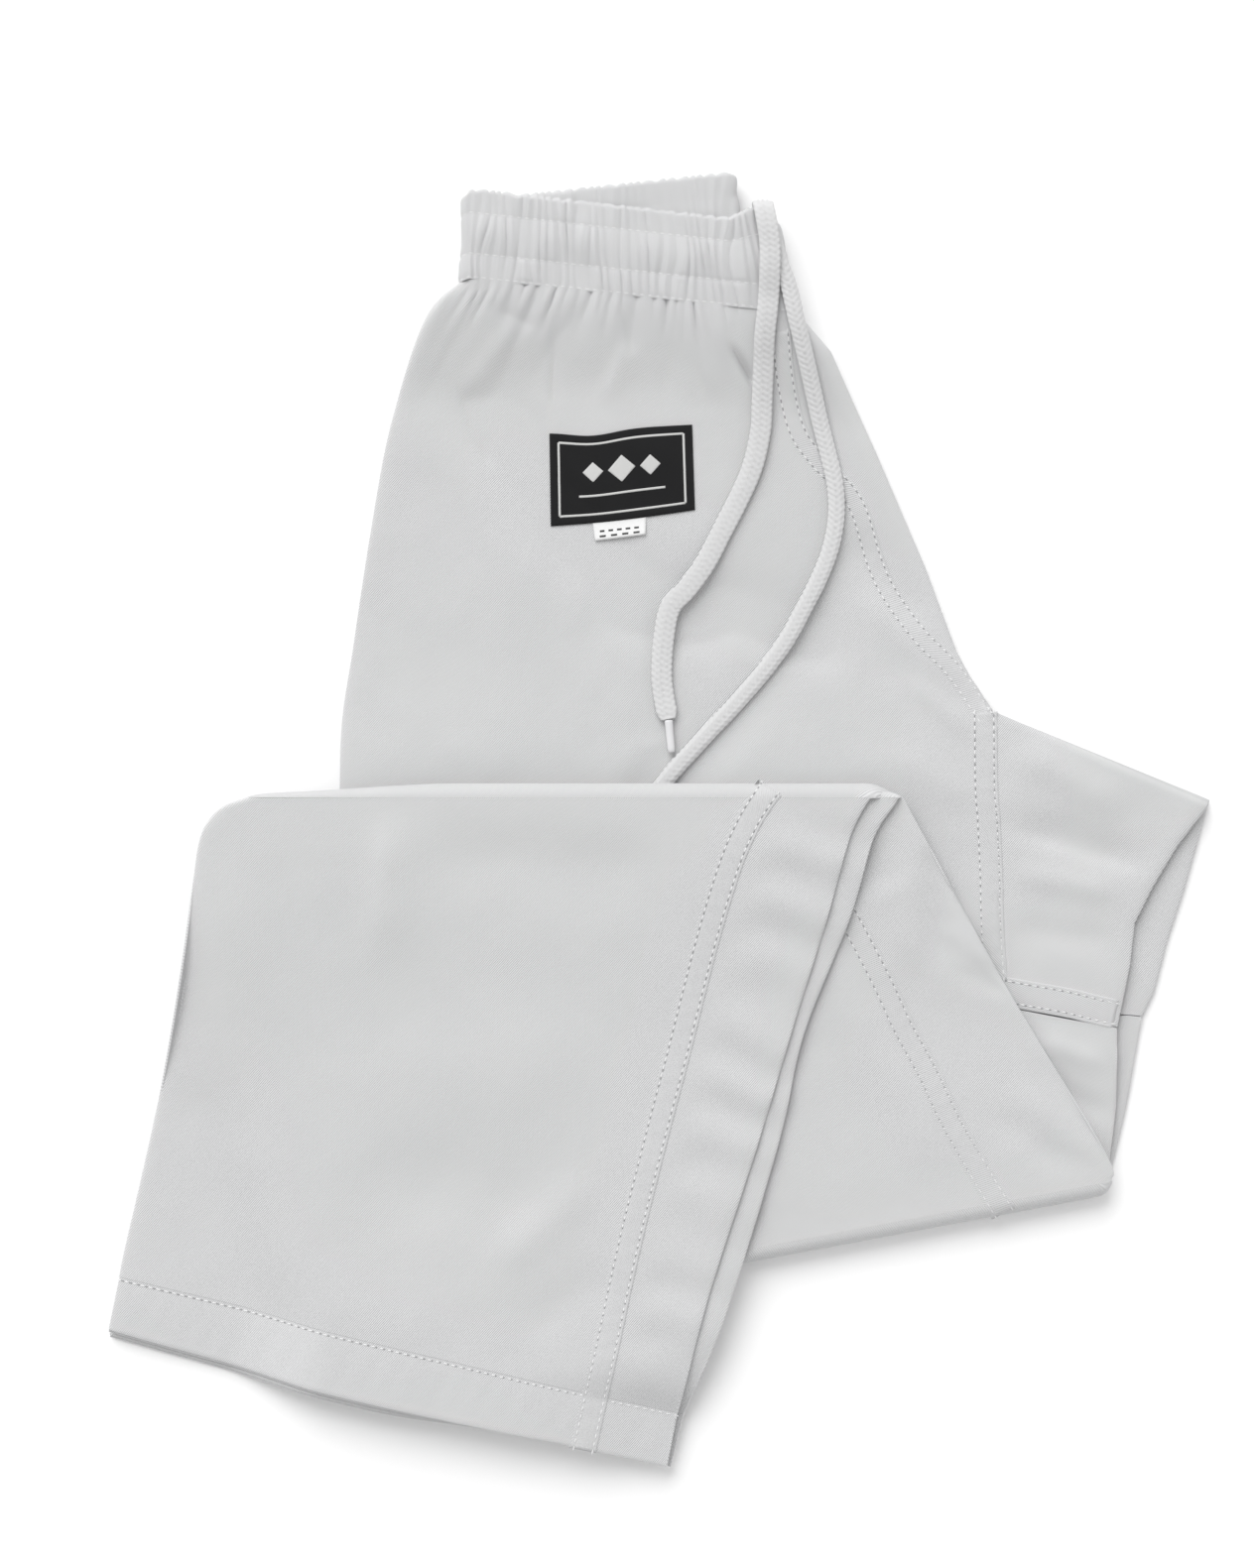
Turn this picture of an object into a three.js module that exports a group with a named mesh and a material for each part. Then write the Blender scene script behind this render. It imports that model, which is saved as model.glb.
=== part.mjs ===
// Martial arts trousers, folded in half lengthwise and then in a Z, lying flat.
// Millimetres, +Z up. The cloth lies on z = 0 and the waistband points along +Y.
// Upper stack: waist to knee. Middle stack: folded up from the knee. Top stack: shins folded down.
import * as THREE from "three";
import { mergeVertices } from "three/addons/utils/BufferGeometryUtils.js";

// Cloth
const PLY = 1.2; // one layer of twill with the loft it has in a folded stack
const PLY_GAP = 0.4; // air between two layers
const TOUCH = 0.3; // gap left where two sewn or resting pieces meet
const PITCH = PLY + PLY_GAP;
const LAYERS = ["front", "back", "back", "front"];
const STACK = 4 * PITCH; // four layers: both legs, front and back

// Waistband: a gathered casing round an elastic and a drawcord, folded flat in four
const BAND_HEIGHT = 38;
const BAND_LEFT = -80; // side folds
const BAND_FRONT = 47; // centre front, where the big fold begins
const BAND_BACK = 28; // centre back, inside the front
const CASING = 0.7;
const ELASTIC_THICK = 1.2;
const ELASTIC_WIDTH = 15;
const ELASTIC_TOP = 11; // below the top edge
const CHANNEL_CORD_WIDTH = 8;
const CHANNEL_CORD_TOP = 28;
const CORD_EXIT_SPAN = 9; // bare stretch of channel at centre front
const BAND_WALL = 2 * CASING + ELASTIC_THICK + 2 * TOUCH;
const BAND_PITCH = BAND_WALL + PLY_GAP;
const BAND_TOP_AT_SIDE = 264.8;
const FRONT_SLOPE = -0.1126; // how the band's top edge runs, per millimetre of width
const BACK_TOP_AT_SIDE = 260.37;
const BACK_SLOPE = 0.108;
const FLARE = 0.06; // widening from the band's top edge to its bottom edge
const BAND_RUNOUT = 45; // length of cloth that slopes from the thick band to the flat leg

// Folds
const KNEE_FOLD = { x: 35.4, y: -187.3, slope: 0.1871 };
const SHIN_FOLD_Y = 15.2;
const FOLD_REACH = 1; // panels stop this far short of a fold line
const AGLET_RADIUS = 1.75;
const SHIN_FOLD_LOFT = 2 * AGLET_RADIUS + 0.2; // lift along the shin fold, over the drawcord tip under it
const LOFT_FLAT = 25; // how far back from the fold the lift is whole
const LOFT_END = 115; // and where it has run out
const TOP_STACK_GAP = 0.6;
const DRAPE_START = 26; // the top stack droops beyond the one under it, from here
const DRAPE_END = 76;
const DRAPE_REST = 0.3;

// Hem, label and tag
const LABEL = { width: 60, height: 38, thick: 0.8, x: -16, y: 146, turn: 4.5 };
const TAG = { width: 23, length: 7.5, thick: 0.5, x: -1 };

// Drawcord ends: flat braid with a plastic tip
const CORD_THICK = 2.6;
const LEFT_CORD_WIDTH = 8.8;
const RIGHT_CORD_WIDTH = 7;
const AGLET_LENGTH = 14;
const TURN_END = 0.16; // share of a cord's length that goes round the band's edge

const material = (color, roughness) => new THREE.MeshStandardMaterial({ color, roughness, metalness: 0 });
const twill = () => material(0xdadada, 0.9);
const trousers = new THREE.Group();

function add(name, geometry, finish) {
  const mesh = new THREE.Mesh(geometry, finish);
  mesh.name = name;
  trousers.add(mesh);
  return mesh;
}

const smooth = (from, to, value) => THREE.MathUtils.smoothstep(value, from, to);
const lerp = THREE.MathUtils.lerp;

// A closed solid through rings of points. Each ring runs out along one face and back along the other.
function loft(rings, looped = false) {
  const count = rings[0].length;
  const index = [];
  const quad = (a, b, c, d) => index.push(a, b, c, a, c, d);
  const quadOtherWay = (a, b, c, d) => index.push(b, c, d, b, d, a); // keeps both faces split alike
  const last = looped ? rings.length : rings.length - 1;
  for (let i = 0; i < last; i++) {
    const j = (i + 1) % rings.length;
    for (let k = 0; k < count; k++) {
      const m = (k + 1) % count;
      const split = k < count / 2 ? quad : quadOtherWay;
      split(i * count + k, j * count + k, j * count + m, i * count + m);
    }
  }
  if (!looped) {
    const end = (rings.length - 1) * count;
    for (let k = 0; k < count / 2 - 1; k++) {
      const far = count - 1 - k;
      quad(k, k + 1, far - 1, far);
      quad(end + far, end + far - 1, end + k + 1, end + k);
    }
  }
  const geometry = new THREE.BufferGeometry();
  geometry.setAttribute("position", new THREE.Float32BufferAttribute(rings.flat(2), 3));
  geometry.setIndex(index);
  geometry.computeVertexNormals();
  return geometry;
}

// One layer of cloth across ribs, each rib given by its left and right end: [[x, y], [x, y]].
function panel(ribs, rowsBetween, columns, underside, thick = PLY) {
  const rings = [];
  const ribAt = (a, b, t) =>
    [0, 1].map((side) => [0, 1].map((axis) => lerp(a[side][axis], b[side][axis], t)));
  ribs.slice(1).forEach((rib, i) => {
    for (let row = i ? 1 : 0; row <= rowsBetween; row++) {
      const [left, right] = ribAt(ribs[i], rib, row / rowsBetween);
      const under = [];
      for (let column = 0; column <= columns; column++) {
        const x = lerp(left[0], right[0], column / columns);
        const y = lerp(left[1], right[1], column / columns);
        under.push([x, y, underside(x, y)]);
      }
      const over = under.map(([x, y, z]) => [x, y, z + thick]).reverse();
      rings.push([...under, ...over]);
    }
  });
  return loft(rings.reverse()); // the ribs run towards -Y
}

// ---- Waistband ----

const frontTop = (x) => BAND_TOP_AT_SIDE + FRONT_SLOPE * (x - BAND_LEFT);
const backTop = (x) => BACK_TOP_AT_SIDE + BACK_SLOPE * (x - BAND_LEFT);
const wallLevel = (wall) => BAND_WALL / 2 + wall * BAND_PITCH;

// The band's line seen from the waist, offset outwards from the wearer: x, height and share of "back".
function bandLine(offset) {
  const line = [];
  const wall = (fromX, toX, level, back) => line.push({ x: fromX, level, back }, { x: toX, level, back });
  const fold = (x, level, radius, turn, fromBack, toBack) => {
    const steps = 6;
    for (let i = 1; i < steps; i++) {
      const angle = lerp(turn[0], turn[1], i / steps);
      const back = lerp(fromBack, toBack, (i - 1) / (steps - 2));
      line.push({ x: x + radius * Math.cos(angle), level: level + radius * Math.sin(angle), back });
    }
  };
  const quarter = Math.PI / 2;
  const radius = BAND_PITCH / 2;
  wall(BAND_FRONT, BAND_LEFT, wallLevel(0) - offset, 0);
  fold(BAND_LEFT, wallLevel(0.5), radius + offset, [-quarter, -3 * quarter], 0, 1);
  wall(BAND_LEFT, BAND_BACK, wallLevel(1) + offset, 1);
  fold(BAND_BACK, wallLevel(1.5), radius - offset, [-quarter, quarter], 1, 1);
  wall(BAND_BACK, BAND_LEFT, wallLevel(2) - offset, 1);
  fold(BAND_LEFT, wallLevel(2.5), radius + offset, [-quarter, -3 * quarter], 1, 0);
  wall(BAND_LEFT, BAND_FRONT, wallLevel(3) + offset, 0);
  fold(BAND_FRONT, wallLevel(1.5), 3 * radius + offset, [quarter, -quarter], 0, 0);
  return line;
}

function bandPoint({ x, level, back }, depth) {
  const top = lerp(frontTop(x), backTop(x), back);
  return [x + FLARE * (x - BAND_LEFT) * (depth / BAND_HEIGHT), top - depth, level];
}

// A ribbon round the waist, or all of it but a gap at centre front.
function ribbon(offset, thick, top, width, gap = 0) {
  let outer = bandLine(offset + thick / 2);
  let inner = bandLine(offset - thick / 2);
  if (gap) {
    const kept = (p) => p.x <= BAND_FRONT;
    const trimmed = (p) => ({ ...p, x: Math.min(p.x, BAND_FRONT - gap) });
    outer = outer.filter(kept).map(trimmed);
    inner = inner.filter(kept).map(trimmed);
  }
  const rings = outer.map((p, i) => [
    bandPoint(inner[i], top + width),
    bandPoint(p, top + width),
    bandPoint(p, top),
    bandPoint(inner[i], top),
  ]);
  return loft(rings, !gap);
}

const casingOffset = ELASTIC_THICK / 2 + TOUCH + CASING / 2;
add("waistband_outer_casing", ribbon(casingOffset, CASING, 0, BAND_HEIGHT), twill());
add("waistband_inner_casing", ribbon(-casingOffset, CASING, 0, BAND_HEIGHT), twill());
add("waistband_elastic", ribbon(0, ELASTIC_THICK, ELASTIC_TOP, ELASTIC_WIDTH), material(0xf2f2ee, 0.8));
add(
  "drawcord_in_channel",
  ribbon(0, ELASTIC_THICK, CHANNEL_CORD_TOP, CHANNEL_CORD_WIDTH, CORD_EXIT_SPAN),
  material(0xe2e2e2, 0.95),
);

// ---- Upper stack: waist to knee ----

function bandBottom(x, face) {
  const beforeFlare = (x + FLARE * BAND_LEFT) / (1 + FLARE);
  return (face === "front" ? frontTop : backTop)(beforeFlare) - BAND_HEIGHT;
}
const kneeFoldY = (x) => KNEE_FOLD.y + KNEE_FOLD.slope * (x - KNEE_FOLD.x);

function upperUnderside(layer) {
  const flat = layer * PITCH;
  const atBand = layer ? wallLevel(layer) - PLY / 2 : 0;
  const below = (x, y) => Math.min(bandBottom(x, "front"), bandBottom(x, "back")) - y;
  return (x, y) => lerp(atBand, flat, smooth(0, BAND_RUNOUT, below(x, y)));
}

const crotch = [138, 47];
const inseam = [[141.5, -20], [144, -70], [149, -79.7]];
const hipSide = [
  [-98, 211], [-113, 167], [-122, 119], [-129, 73],
  [-134, 36], [-134, -20], [-130.5, -74], [-130, -84],
];
const rise = [[72, 197], [91, 155], [112, 106], [125, 71], crotch];
const belowGusset = {
  right: [[192.5, -88], [192.2, -121], [193, 0]],
  left: [[203.5, -83.5], [197, -121], [193.8, 0]],
};

function thighRibs(side, face) {
  const leftEnds = [...hipSide, [-129.6, -92], [-127, -150], [-123.3, 0]];
  const rightEnds = [...rise, ...inseam, ...belowGusset[side]];
  const ribs = leftEnds.map((end, i) => [end, rightEnds[i]]);
  const bottom = ribs.at(-1).map(([x]) => [x, kneeFoldY(x) + FOLD_REACH]);
  const bandRight = face === "front" ? BAND_FRONT + 3 * BAND_PITCH : BAND_BACK + 2 * BAND_PITCH;
  const bandEdge = [BAND_LEFT - FOLD_REACH, bandRight].map((x) => [x, bandBottom(x, face) - TOUCH]);
  return [bandEdge, ...ribs.slice(0, -1), bottom];
}

const sideOf = (layer, onTop) => (layer < 2 ? (onTop === "right" ? "left" : "right") : onTop);

LAYERS.forEach((face, layer) => {
  const side = sideOf(layer, "right");
  add(`${side}_${face}_thigh`, panel(thighRibs(side, face), 2, 8, upperUnderside(layer)), twill());
});

// The gusset let in between the legs below the crotch, folded with them
const gussetInner = [[139, 46.2], [141.6, 8], [142.7, -22], [143.6, -40], [145, -69.6], [150, -79.2]];
const gussetOuter = {
  right: [[231.3, 6.6], [218, -11], [207.5, -28.5], [200, -43.5], [197.9, -61.5], [192.6, -87.3]],
  left: [[232.2, 8.2], [226, -13], [221.5, -29], [214.2, -51.5], [208.7, -72.7], [203.7, -82.9]],
};
LAYERS.forEach((face, layer) => {
  const side = sideOf(layer, "right");
  const ribs = gussetInner.map((end, i) => [end, gussetOuter[side][i]]);
  add(`${side}_${face}_gusset`, panel(ribs, 1, 3, upperUnderside(layer)), twill());
});

// ---- Middle stack: folded up from the knee, right leg inside ----

const middleLeft = [[-123.6, 0], [-190, SHIN_FOLD_Y - FOLD_REACH]];
const middleRight = [[191.8, 0], [99, SHIN_FOLD_Y - FOLD_REACH]];
middleLeft[0][1] = kneeFoldY(middleLeft[0][0]) + FOLD_REACH;
middleRight[0][1] = kneeFoldY(middleRight[0][0]) + FOLD_REACH;

const middleHeight = (y) => STACK + SHIN_FOLD_LOFT * (1 - smooth(LOFT_FLAT, LOFT_END, SHIN_FOLD_Y - y));
LAYERS.forEach((face, layer) => {
  const side = sideOf(layer, "left");
  const ribs = [1, 0].map((end) => [middleLeft[end], middleRight[end]]);
  const underside = (x, y) => middleHeight(y) + layer * PITCH;
  add(`${side}_${face}_knee`, panel(ribs, 9, 9, underside), twill());
});

// ---- Top stack: shins folded down, drooping past the stack under it ----

function beyondMiddle(x, y) {
  const [[x0, y0], [x1, y1]] = middleLeft;
  const length = Math.hypot(x1 - x0, y1 - y0);
  const pastLeft = ((y - y0) * (x1 - x0) - (x - x0) * (y1 - y0)) / length;
  const pastFold = (kneeFoldY(x) - y) * Math.cos(Math.atan(KNEE_FOLD.slope));
  return Math.max(pastLeft, pastFold);
}

function topHeight(x, y) {
  const resting = middleHeight(y) + STACK - PLY_GAP + TOP_STACK_GAP;
  return lerp(resting, DRAPE_REST, smooth(DRAPE_START, DRAPE_END, beyondMiddle(x, y)));
}
const shinRibs = [
  [[-184, SHIN_FOLD_Y - FOLD_REACH], [92, SHIN_FOLD_Y - FOLD_REACH]],
  [[-187, -6], [80, -10]],
  [[-196, -56], [66, -57]],
  [[-215, -139], [33, -160]],
  [[-227.2, -192.4], [7.4, -249]],
];
const hemRibs = [
  [[-227.3, -192.8], [7.3, -249.4]],
  [[-232.2, -213.5], [2.9, -272.4]],
];
LAYERS.forEach((face, layer) => {
  const side = sideOf(layer, "right");
  const underside = (x, y) => topHeight(x, y) + layer * PITCH;
  add(`${side}_${face}_shin`, panel(shinRibs, 3, 11, underside), twill());
  add(`${side}_${face}_hem`, panel(hemRibs, 1, 11, underside), twill());
});

// ---- Woven label and the care tag under its lower edge ----

const legTop = STACK - PLY_GAP;
const labelGroup = new THREE.Group();
labelGroup.position.set(LABEL.x, LABEL.y, legTop + TOUCH);
labelGroup.rotation.z = THREE.MathUtils.degToRad(LABEL.turn);
trousers.add(labelGroup);
const labelShape = new THREE.BoxGeometry(LABEL.width, LABEL.height, LABEL.thick);
const label = add("woven_label", labelShape, material(0x161617, 0.8));
label.position.z = LABEL.thick / 2;
const tag = add("care_tag", new THREE.BoxGeometry(TAG.width, TAG.length, TAG.thick), material(0xf4f4f4, 0.7));
tag.position.set(TAG.x, -LABEL.height / 2 - TOUCH - TAG.length / 2, TAG.thick / 2);
labelGroup.add(label, tag);

// ---- Drawcord ends: out of the band behind its front wall, over its top edge and down the front ----

const onLeg = legTop + TOUCH + CORD_THICK / 2;
const tipHeight = legTop + TOUCH + AGLET_RADIUS;
const leftRoute = [
  [44, 235, 5.9], [43.8, 244, 5.9], [43.4, 252.5, 6], [43.2, 257.6, 9.3],
  [43.2, 259, 12.6], [43.6, 256.6, 16.8],
  [44.8, 250, 18.6], [46, 241, 18.6], [46, 231, 18.4], [45.6, 220, 16.4], [44.9, 212, 16], [44, 203, 14.6],
  [43.6, 191, 11.5], [43.1, 176, 8.9],
  [42.5, 164, 7.9], [39.2, 149, onLeg], [33.4, 135.4, onLeg], [26.2, 121.4, onLeg], [19.2, 108, onLeg],
  [11.4, 97.2, onLeg], [4.6, 89.6, onLeg], [1.9, 77.7, onLeg], [0.8, 62.7, onLeg], [1.7, 52.3, onLeg],
  [3.7, 42.2, tipHeight],
];
const rightRoute = [
  [44, 235, 9.1], [43.9, 244, 9], [43.7, 251, 8.9], [43.8, 255.2, 12.3], [44.6, 252, 15.5], [47, 245, 15.7],
  [50, 235, 15.7], [54, 224, 15.7], [57.2, 210, 15.6], [60.8, 196, 13.4], [64.4, 181, 10.2], [67.4, 168, 8.3],
  [70.8, 154.8, onLeg], [73.8, 141.5, onLeg], [74.4, 128.1, onLeg],
  [72.1, 114.8, onLeg], [67.1, 101.5, onLeg],
  [60.6, 88.8, onLeg], [53.6, 76, onLeg], [44.2, 63, onLeg], [32.1, 49, onLeg], [19.2, 35.2, onLeg],
  [6.25, 21, onLeg], [-1.6, 11.2, tipHeight],
];
const leftTip = [5, 28.4];
const rightTip = [-9.6, 0];

// A flat cord's route: its broad face turns over the band's edge, then lies level on the cloth.
class FlatRoute extends THREE.CatmullRomCurve3 {
  computeFrenetFrames(segments) {
    const frames = { tangents: [], normals: [], binormals: [] };
    const up = new THREE.Vector3(0, 0, 1);
    for (let i = 0; i <= segments; i++) {
      const tangent = this.getTangentAt(i / segments);
      const level = new THREE.Vector3().crossVectors(up, tangent).normalize();
      const side = new THREE.Vector3(1, 0, 0).lerp(level, smooth(TURN_END, TURN_END + 0.1, i / segments));
      const normal = new THREE.Vector3().crossVectors(tangent, side).normalize();
      frames.tangents.push(tangent);
      frames.normals.push(normal);
      frames.binormals.push(new THREE.Vector3().crossVectors(tangent, normal));
    }
    return frames;
  }
}

function cord(name, points, width) {
  const section = new THREE.Shape().absellipse(0, 0, CORD_THICK / 2, width / 2, 0, 2 * Math.PI);
  const route = new FlatRoute(points.map((p) => new THREE.Vector3(...p)));
  const tube = new THREE.ExtrudeGeometry(section, { steps: 60, curveSegments: 5, extrudePath: route });
  tube.deleteAttribute("normal");
  tube.deleteAttribute("uv");
  add(name, mergeVertices(tube, 1e-3), material(0xe2e2e2, 0.95));
}

function aglet(name, from, towards) {
  const start = new THREE.Vector3(...from);
  const along = new THREE.Vector3(towards[0], towards[1], from[2]).sub(start).normalize();
  const r = AGLET_RADIUS;
  const profile = [[0, 0], [r, 0], [r, AGLET_LENGTH - 1], [0.6 * r, AGLET_LENGTH], [0, AGLET_LENGTH]];
  const shape = new THREE.LatheGeometry(profile.map(([x, y]) => new THREE.Vector2(x, y)), 10);
  const mesh = add(name, shape, material(0xe9e9e9, 0.3));
  mesh.quaternion.setFromUnitVectors(new THREE.Vector3(0, 1, 0), along);
  mesh.position.copy(start).addScaledVector(along, TOUCH);
}
cord("drawcord_left_end", leftRoute, LEFT_CORD_WIDTH);
cord("drawcord_right_end", rightRoute, RIGHT_CORD_WIDTH);
aglet("left_aglet", leftRoute.at(-1), leftTip);
aglet("right_aglet", rightRoute.at(-1), rightTip);

export default trousers;
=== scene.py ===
"""Martial arts trousers, folded in half lengthwise and then in a Z, lying flat on a pale table."""
import math

import bmesh
import bpy
import numpy as np
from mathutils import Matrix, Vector, noise
from mathutils.bvhtree import BVHTree


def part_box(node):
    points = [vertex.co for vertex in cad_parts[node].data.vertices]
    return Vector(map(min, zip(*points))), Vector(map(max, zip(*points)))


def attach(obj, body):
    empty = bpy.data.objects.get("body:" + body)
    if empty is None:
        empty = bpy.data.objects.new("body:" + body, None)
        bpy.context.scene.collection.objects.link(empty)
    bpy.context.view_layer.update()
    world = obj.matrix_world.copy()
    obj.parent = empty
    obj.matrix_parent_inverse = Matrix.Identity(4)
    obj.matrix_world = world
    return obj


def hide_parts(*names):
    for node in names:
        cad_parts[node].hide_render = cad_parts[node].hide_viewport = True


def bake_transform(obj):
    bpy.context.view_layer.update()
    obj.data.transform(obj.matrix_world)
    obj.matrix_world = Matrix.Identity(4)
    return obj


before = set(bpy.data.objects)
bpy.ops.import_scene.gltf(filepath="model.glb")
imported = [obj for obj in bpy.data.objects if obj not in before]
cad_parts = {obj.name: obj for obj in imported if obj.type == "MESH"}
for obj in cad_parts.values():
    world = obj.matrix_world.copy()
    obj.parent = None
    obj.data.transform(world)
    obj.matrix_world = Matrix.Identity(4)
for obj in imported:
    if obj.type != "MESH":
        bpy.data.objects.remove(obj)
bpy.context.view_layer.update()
scene = bpy.context.scene
MM = 0.001

# ---- Camera ----
# The pair lies on the table and is looked at from straight above, from far enough
# off that the near and far edges keep their proportions.

VIEW_WIDTH = 0.6588
VIEW_CENTRE = (-0.01375, 0.015)
CAMERA_HEIGHT = 1.6
GARMENT_TOP = 0.012
camera_data = bpy.data.cameras.new("camera")
camera_data.sensor_width = 36.0
camera_data.lens = 36.0 * (CAMERA_HEIGHT - GARMENT_TOP) / VIEW_WIDTH
camera_data.clip_start = 0.05
camera = bpy.data.objects.new("camera", camera_data)
camera.location = (*VIEW_CENTRE, CAMERA_HEIGHT)
scene.collection.objects.link(camera)
scene.camera = camera

# ---- Drawcord ends ----
# Two ends of one flat cotton braid, 8.8 mm wide. Each comes out of the waistband behind its
# front wall, turns over the top edge and lies loosely down the front to a plastic tip.

CORD_THICK = 2.6
LEFT_CORD_WIDTH = 8.8
RIGHT_CORD_WIDTH = 7.0
LEG_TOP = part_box("right_front_gusset")[1][2] / MM
AIR = 0.3
AGLET_RADIUS = 1.75
TIP_HEIGHT = LEG_TOP + AIR + AGLET_RADIUS
ON_LEG = LEG_TOP + AIR + CORD_THICK / 2
LEFT_ROUTE = [
    (44, 235, 5.9), (43.8, 244, 5.9), (43.4, 252.5, 6), (43.2, 257.6, 9.3), (43.2, 259, 12.6),
    (43.6, 256.6, 16.8), (44.8, 250, 18.6), (46, 241, 18.6), (46, 231, 18.4), (45.6, 220, 16.4),
    (44.9, 212, 16), (44, 203, 14.6), (43.6, 191, 11.5), (43.1, 176, 8.9), (42.5, 164, 7.9),
    (39.2, 149, ON_LEG), (33.4, 135.4, ON_LEG), (26.2, 121.4, ON_LEG), (19.2, 108, ON_LEG),
    (11.4, 97.2, ON_LEG), (4.6, 89.6, ON_LEG), (1.9, 77.7, ON_LEG), (0.8, 62.7, ON_LEG),
    (1.7, 52.3, ON_LEG), (3.7, 42.2, TIP_HEIGHT),
]
RIGHT_ROUTE = [
    (44, 235, 9.1), (43.9, 244, 9), (43.7, 251, 8.9), (43.8, 255.2, 12.3), (44.6, 252, 15.5),
    (47, 245, 15.7), (50, 235, 15.7), (54, 224, 15.7), (57.2, 210, 15.6), (60.8, 196, 13.4),
    (64.4, 181, 10.2), (67.4, 168, 8.3), (70.8, 154.8, ON_LEG), (73.8, 141.5, ON_LEG),
    (74.4, 128.1, ON_LEG), (72.1, 114.8, ON_LEG), (67.1, 101.5, ON_LEG), (60.6, 88.8, ON_LEG),
    (53.6, 76, ON_LEG), (44.2, 63, ON_LEG), (32.1, 49, ON_LEG), (19.2, 35.2, ON_LEG),
    (6.25, 21, ON_LEG), (-1.6, 11.2, TIP_HEIGHT),
]


def spline(points, t):
    """Catmull-Rom through the points, at parameters t from 0 to their number less one."""
    p = np.asarray(points, dtype=float)
    p = np.vstack([2 * p[0] - p[1], p, 2 * p[-1] - p[-2]])
    t = np.clip(np.asarray(t, dtype=float), 0, len(points) - 1 - 1e-9)
    i = t.astype(int)
    u = (t - i)[:, None]
    a, b, c, d = p[i], p[i + 1], p[i + 2], p[i + 3]
    square, cube = 2 * a - 5 * b + 4 * c - d, 3 * b - a - 3 * c + d
    return 0.5 * (2 * b + (c - a) * u + square * u**2 + cube * u**3)


def even(points, step):
    """Points a step apart along a dense line."""
    lengths = np.r_[0, np.cumsum(np.linalg.norm(np.diff(points, axis=0), axis=1))]
    at = np.linspace(0, lengths[-1], max(2, int(round(lengths[-1] / step)) + 1))
    return np.stack([np.interp(at, lengths, points[:, k]) for k in range(points.shape[1])], axis=1)


def smooth(low, high, value):
    t = np.clip((value - low) / (high - low), 0, 1)
    return t * t * (3 - 2 * t)


def unit(v):
    return v / np.maximum(np.linalg.norm(v, axis=-1, keepdims=True), 1e-9)


def make_object(name, vertices, faces, uvs=None):
    """A smooth-shaded mesh object from millimetres."""
    mesh = bpy.data.meshes.new(name)
    mesh.from_pydata((np.asarray(vertices) * MM).tolist(), [], [list(f) for f in faces])
    if uvs is not None:
        layer = mesh.uv_layers.new(name="cloth")
        loops = np.zeros(len(mesh.loops), dtype=np.int32)
        mesh.loops.foreach_get("vertex_index", loops)
        layer.data.foreach_set("uv", np.asarray(uvs, dtype=np.float32)[loops].ravel())
    mesh.shade_smooth()
    mesh.update()
    piece = bpy.data.objects.new(name, mesh)
    scene.collection.objects.link(piece)
    return piece


def face_outward(piece):
    """Turns a closed piece's faces outward."""
    fix = bmesh.new()
    fix.from_mesh(piece.data)
    bmesh.ops.recalc_face_normals(fix, faces=fix.faces)
    fix.to_mesh(piece.data)
    fix.free()


def closed_tube(rings):
    """Faces of a tube through rings of one size, with a fan of faces at each end."""
    count, size = len(rings), len(rings[0])
    faces = []
    for i in range(count - 1):
        for k in range(size):
            m = (k + 1) % size
            faces.append((i * size + k, (i + 1) * size + k, (i + 1) * size + m, i * size + m))
    faces.append(tuple(range(size)))
    faces.append(tuple(reversed(range((count - 1) * size, count * size))))
    return faces


def braid(name, route, width, step=0.55):
    """The braid's plaits stand 0.16 mm proud, in two sets of slanting ribs that cross."""
    line = even(spline(route, np.linspace(0, len(route) - 1, 900)), step)
    tangent = unit(np.gradient(line, axis=0))
    level = unit(np.cross([0, 0, 1], tangent))
    share = np.linspace(0, 1, len(line))[:, None]
    blend = smooth(0.16, 0.26, share)
    side = unit(np.array([1.0, 0, 0]) * (1 - blend) + level * blend)
    over = unit(np.cross(tangent, side))
    around = np.linspace(0, 2 * math.pi, 28, endpoint=False)
    along = np.arange(len(line)) * step
    rings, uvs = [], []
    for i, centre in enumerate(line):
        across = np.sin(around) * width / 2
        plait = np.abs(np.sin(math.pi * (along[i] + np.abs(across) * 0.9) / 2.6)) ** 0.7
        rib = np.abs(np.cos(math.pi * across / 1.9))
        taper = 1 - 0.25 * smooth(len(line) - 8, len(line) - 1, i)
        puff = (0.75 * plait * rib**0.6 - 0.42) * smooth(0, 3, min(i, len(line) - 1 - i))
        half_wide = (width / 2 + puff * 0.5) * taper
        half_thick = CORD_THICK / 2 + puff
        profile = np.sign(np.cos(around)) * np.abs(np.cos(around)) ** 0.8
        ring = centre + np.outer(profile * half_thick, over[i])
        rings.append(ring + np.outer(np.sin(around) * half_wide, side[i]))
        uvs += [(a * width / 2 * MM, along[i] * MM) for a in around]
    piece = make_object(name, np.vstack(rings), closed_tube(rings), uvs)
    return piece, line


def new_material(name):
    material = bpy.data.materials.new(name)
    material.use_nodes = True
    nodes = material.node_tree.nodes
    return material, nodes, material.node_tree.links, nodes["Principled BSDF"]


def dial(node, values):
    """Sets a node's inputs by name."""
    for socket, value in values.items():
        node.inputs[socket].default_value = value


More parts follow.
